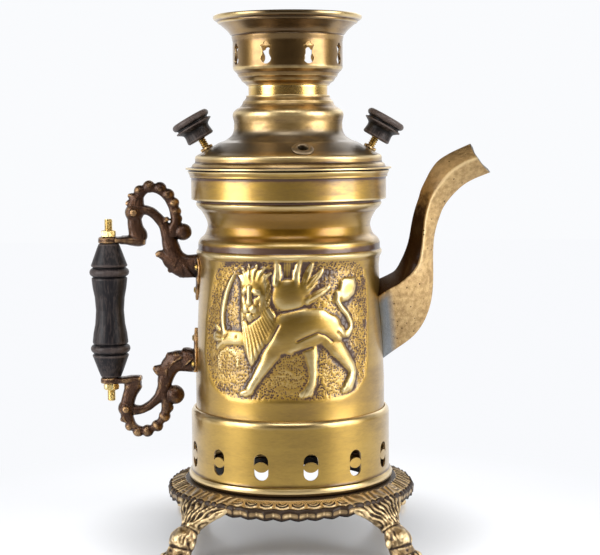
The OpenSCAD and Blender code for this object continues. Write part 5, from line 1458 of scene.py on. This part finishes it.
grip_middle_z, grip_half_long, grip_bore_r = 160.4, 47, 3.09
ring_arc = [(11 + 2.88 * math.cos(math.radians(a)), 27 + 3 * math.sin(math.radians(a)))
            for a in range(-62, 63, 16)]
grip_half = [(9.8, 0), (10.5, 9.4), (11.8, 16), (12.5, 22.3), (12.3, 23.1), (11.3, 23.7)] + ring_arc + [
    (11.3, 30.5), (12.3, 31.0), (12.8, 31.9), (12.2, 33.4), (8.7, 43), (7.2, 46.7), (6.8, grip_half_long)]
grip_outline = [(r, grip_middle_z - z) for r, z in grip_half[:0:-1]]
grip_outline += [(r, grip_middle_z + z) for r, z in grip_half]
grip_outline += [(grip_bore_r, grip_middle_z + grip_half_long), (grip_bore_r, grip_middle_z - grip_half_long)]
grip = turned("grip_turned", grip_outline, sides=88, rounding=0.25, step=1.0)
shifted(grip, to_rod)
grip.data.materials.append(wood("dark_wood", (0.008, 0.0065, 0.0085), (0.070, 0.052, 0.047),
                                axis=(rod_x * mm, 0.0)))
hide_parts("handle_grip")
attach(grip, "grip")

# ---- Lid ----
# Spun from brass sheet: a flat rim, a step, a cone for the knobs and the steam vent, a bell
# neck and a collar round the flue. Darker than the body. A soldered ring below locates it.

lid_path = [
    (71.7, 260.20), (67.9, 260.20), (66.9, 262.42), (65.1, 263.79), (65.0, 265.72), (65.1, 266.42),
    (65.0, 267.12), (64.8, 267.78), (64.4, 268.34), (63.8, 268.78), (62.3, 269.50), (60.5, 270.40),
    (48.5, 277.33), (44.0, 278.93), (42.8, 279.68), (41.2, 280.76), (39.8, 281.93), (39.0, 283.11),
    (38.4, 284.37), (38.0, 285.73), (37.7, 287.37), (37.7, 289.11), (37.6, 290.33), (37.8, 292.33),
    (38.1, 293.30), (38.4, 294.67), (38.6, 295.93), (38.5, 296.88), (38.3, 297.73), (37.9, 298.53),
    (37.2, 299.37), (36.3, 300.17), (35.6, 300.73), (33.4, 301.93), (32.0, 303.53), (31.2, 305.73),
    (30.0, 306.93), (29.1, 308.13), (29.1, 309.73)]
knob_turns, vent_turn = (90, 270), 10
cone_r, cone_z, cone_lean = 56.4, 272.77, math.radians(30)
stud_hole_r, vent_hole_r = 3.1, 4.6
browned_brass = metal("browned_brass", (0.90, 0.70, 0.36), (0.45, 0.295, 0.11), (0.07, 0.036, 0.018), 0.37,
                      mottle=36.0, tint=(0.24, 0.195, 0.135), lacquer=0.5)


def on_cone(turn):
    """From the origin, Z up, to a place on the lid's cone, Z square to the sheet."""
    return (Matrix.Rotation(math.radians(turn - 90), 4,
                            "Z") @ Matrix.Translation((cone_r * mm, 0, cone_z * mm))
            @ Matrix.Rotation(cone_lean, 4, "Y"))


lid = turned("lid_dome", sheet(lid_path, sheet_wall), sides=208, rounding=0.3, step=1.1)
at, groove_and_shade = spots_of(lid) / mm, np.empty(len(lid.data.vertices), np.float32)
lid.data.attributes["hollow_and_shade"].data.foreach_get("value", groove_and_shade)
# Painted shadow: near black under the lid's rim, where the seam's gap is.
painted_rim_shadow = (at[:, 2] < 259.6) & (np.hypot(at[:, 0], at[:, 1]) < 71.6)
note(lid, "hollow_and_shade", groove_and_shade + 3.0 * painted_rim_shadow)
note(lid, "tint_and_painted_reflection", 0.8 * np.clip(np.minimum(at[:, 2] - 269.0, 287.0 - at[:, 2]) / 3.0, 0, 1))
lid.data.materials.append(browned_brass)
for turn, r in [(turn, stud_hole_r) for turn in knob_turns] + [(vent_turn, vent_hole_r)]:
    cut(lid, shifted(drill(0, r, -4.0, 3.0, cut_edge_brass), on_cone(turn)))
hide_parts("lid_shell")
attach(lid, "lid")

skirt_outline = [(66.3, 251.0), (66.3, 258.98), (63.3, 258.98), (63.3, 257.8), (65.1, 257.8), (65.1, 251.0)]
skirt = turned("lid_ring", skirt_outline, sides=144, rounding=0.25)
skirt.data.materials.append(antique_brass)
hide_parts("lid_skirt")
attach(skirt, "lid")

# ---- Steam vent ----
# A brass eyelet closed over the hole in the cone, with a rounded flange on both sides. Its
# brown finish is nearly worn off.

eyelet_outline = [(4.5, -1.6), (5.7, -1.6), (5.7, -2.6), (3.5, -2.6), (3.5, 1.3), (4.3, 1.8), (5.3, 1.75),
                  (6.6, 1.3), (7.3, 0.75), (7.5, 0.3), (4.5, 0.3)]
eyelet_brass = metal("eyelet_brass", (0.90, 0.72, 0.42), (0.40, 0.31, 0.19), (0.20, 0.13, 0.07), 0.38,
                     patina=0.5, brushed=0.0, mottle=90.0)
eyelet = turned("vent_ring", eyelet_outline, sides=56, rounding=0.2, step=0.6)
outward(shifted(eyelet, on_cone(vent_turn)))
eyelet.data.materials.append(eyelet_brass)
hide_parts("vent_eyelet")
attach(eyelet, "lid")

# ---- Knob studs and nuts ----
# Two threaded brass studs through the cone, each with a thin nut outside and one inside.
# The thread ends below the top of the stud, where the knob hides it.


def stud_group(look):
    """Sets its geometry out at the given turns about the lid's axis, square to the cone."""
    group, given = new_group("on_the_cone", Count=2, First_turn=0.0, Step=math.pi, Radius=cone_r * mm,
                             Height=cone_z * mm, Lean=cone_lean)
    line = add_node(group, "GeometryNodeMeshLine", {"Count": given["Count"], "Offset": (0, 0, 0)},
                    mode="OFFSET")
    place = add_node(group, "GeometryNodeInputIndex").outputs[0]
    turn = sums(group, "MULTIPLY_ADD", place, given["Step"], given["First turn"])
    x = sums(group, "MULTIPLY", sums(group, "COSINE", turn), given["Radius"])
    y = sums(group, "MULTIPLY", sums(group, "SINE", turn), given["Radius"])
    spot = add_node(group, "ShaderNodeCombineXYZ", {0: x, 1: y, 2: given["Height"]}).outputs[0]
    moved = add_node(group, "GeometryNodeSetPosition",
                     {"Geometry": line.outputs[0], "Position": spot}).outputs[0]
    about = add_node(group, "ShaderNodeCombineXYZ", {1: given["Lean"], 2: turn}).outputs[0]
    copies = add_node(group, "GeometryNodeInstanceOnPoints", {"Points": moved, "Instance": given["Geometry"],
                      "Rotation": about})
    return end_group(group, copies.outputs[0], look)


stud = lathe_rod("studs_threaded", [(-4.3, -0.2, 0.25), (-0.2, 9.0, 0.2), (9.0, 17.6, 2.0)], 2.95,
                 chamfer=0.4)
run_group(stud, thread_group(yellow_brass), Pitch=0.0015, Depth=0.0010, Low_end=0.0090, High_start=0.03)
run_group(stud, stud_group(yellow_brass), Count=2, First_turn=0.0)
outward(stud)
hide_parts("knob_studs")
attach(stud, "lid")

dull_brass = metal("dull_brass", (0.80, 0.60, 0.30), (0.30, 0.19, 0.08), (0.06, 0.03, 0.02), 0.33,
                   brushed=0.0, grain=0.4)
places = [Matrix.Translation((0, 0, z * mm)) for z in (0.1, -3.3)]
washers = joined("knob_hex_nuts", [shifted(hex_nut("nut", 9.0, 2.0, 3.02), place) for place in places])
washers.data.set_sharp_from_angle(angle=math.radians(25))
run_group(washers, stud_group(dull_brass), Count=2, First_turn=0.0)
outward(washers)
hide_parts("knob_nuts")
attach(washers, "lid")

# ---- Knobs ----
# Two turned hardwood knobs, stained nearly black: a foot, a waist, a wide disc and a bead on
# top. Each is drilled and screwed down on its stud.

knob_outline = [
    (3.1, 0), (9.2, 0), (10, 0.9), (9.8, 2.4), (9.7, 3.08), (9.6, 4.05), (9.5, 5), (9.5, 5.83), (9.6, 6.64),
    (9.9, 7.4), (10.8, 8.17), (11.9, 8.9), (12.7, 9.4), (13.5, 9.8), (13.5, 10.6), (11.7, 11.2), (11.7, 12),
    (12, 12.24), (13, 12.67), (13.7, 13.52), (14, 14.6), (13.7, 15.68), (13, 16.53), (12, 16.96), (9, 17),
    (0, 17.2), (0, 10), (3.1, 10)]
knob_base = 8.6
knob_wood = wood("knob_wood", (0.012, 0.008, 0.007), (0.095, 0.070, 0.060), turned_at=True)


def knob(name, node, turn):
    """A knob turned on the origin, where its wood's grain is laid, then set on the cone."""
    piece = turned(name, knob_outline, sides=96, rounding=0.22, step=0.9)
    shifted(piece, Matrix.Translation((0, 0, knob_base * mm)))
    other_wood = [0.01 * turn, 0, 0]
    turned_at = (spots_of(piece) + other_wood).astype(np.float32)
    known = piece.data.attributes.new("turned_at", "FLOAT_VECTOR", "POINT")
    known.data.foreach_set("vector", turned_at.ravel())
    outward(shifted(piece, on_cone(turn)))
    piece.data.materials.append(knob_wood)
    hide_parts(node)
    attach(piece, "lid")


knob("knob_right", "lid_knob_right", knob_turns[0])
knob("knob_left", "lid_knob_left", knob_turns[1])

# ---- Crown ----
# A spun cup that holds the teapot over the flue, pierced with eight keyhole-shaped draught
# holes. A short sleeve soldered in its foot drops into the flue.

crown_path = [
    (25.6, 316.43), (28.4, 316.43), (29.6, 318.03), (31.8, 319.43), (33.2, 321.83), (34.2, 322.63),
    (35.2, 325.03), (36.7, 326.43), (37.5, 327.23), (38.1, 328.63), (38.1, 346.63), (38.8, 349.9),
    (38.5, 350.6), (39.5, 351.43), (40.3, 352.59), (41.3, 353.83), (42.6, 355.11), (44.2, 356.48),
    (45.7, 357.79), (47.0, 358.9), (47.9, 359.1), (48.6, 359.9), (48.6, 360.7), (49.7, 361.0),
    (50.9, 361.7), (51.5, 362.7), (51.4, 364.0), (50.6, 364.63), (48.5, 364.63)]
crown_brass = metal("crown_brass", (0.88, 0.66, 0.30), (0.36, 0.215, 0.065), (0.07, 0.030, 0.010), 0.28,
                    brushed=1.2, mottle=36.0, tint=(0.11, 0.060, 0.020), lacquer=0.7)
crown = turned("crown_bowl", sheet(crown_path, sheet_wall), sides=208, rounding=0.25, step=1.0)
at = spots_of(crown) / mm
# A painted dark reflection of the room on the crown's front, strongest on the flare; crown_brass's tint is
# its colour.
front = np.clip(-at[:, 1] / np.hypot(at[:, 0], at[:, 1]) * 3.0 - 1.9, 0, 1)
note(crown, "tint_and_painted_reflection", front * np.where(at[:, 2] > 350, 0.9, np.where(at[:, 2] > 328, 0.6, 0.25)))
crown.data.materials.append(crown_brass)
# Half the width and half the height of a keyhole, and the height of its middle.
w, h, hole_z = 4.0, 7.5, 337.63
hole_count, first_hole_turn = 8, 22.5
side_of_hole = [(w * math.cos(math.radians(a)), w - h + w * math.sin(math.radians(a)))
                for a in (-90, -70, -49, -29, -8)]
side_of_hole += [(0.6 * w, -0.12 * h), (0.6 * w, 0.16 * h), (1.02 * w, 0.62 * h), (0.5 * w, 0.76 * h),
                 (0.34 * w, 0.92 * h), (0, h)]
hole = side_of_hole + [(-y, z) for y, z in side_of_hole[-2:0:-1]]
cutter = prism("crown_cutter", [(y, z + hole_z) for y, z in hole], 30, 46, cut_edge_brass)
run_group(cutter, ring_group("ring_of_holes", cut_edge_brass), Count=hole_count,
          Step=2 * math.pi / hole_count, First_turn=math.radians(first_hole_turn - 90))
cut(crown, cutter)
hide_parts("crown_cup")
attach(crown, "crown")
dress("crown_spigot", antique_brass)
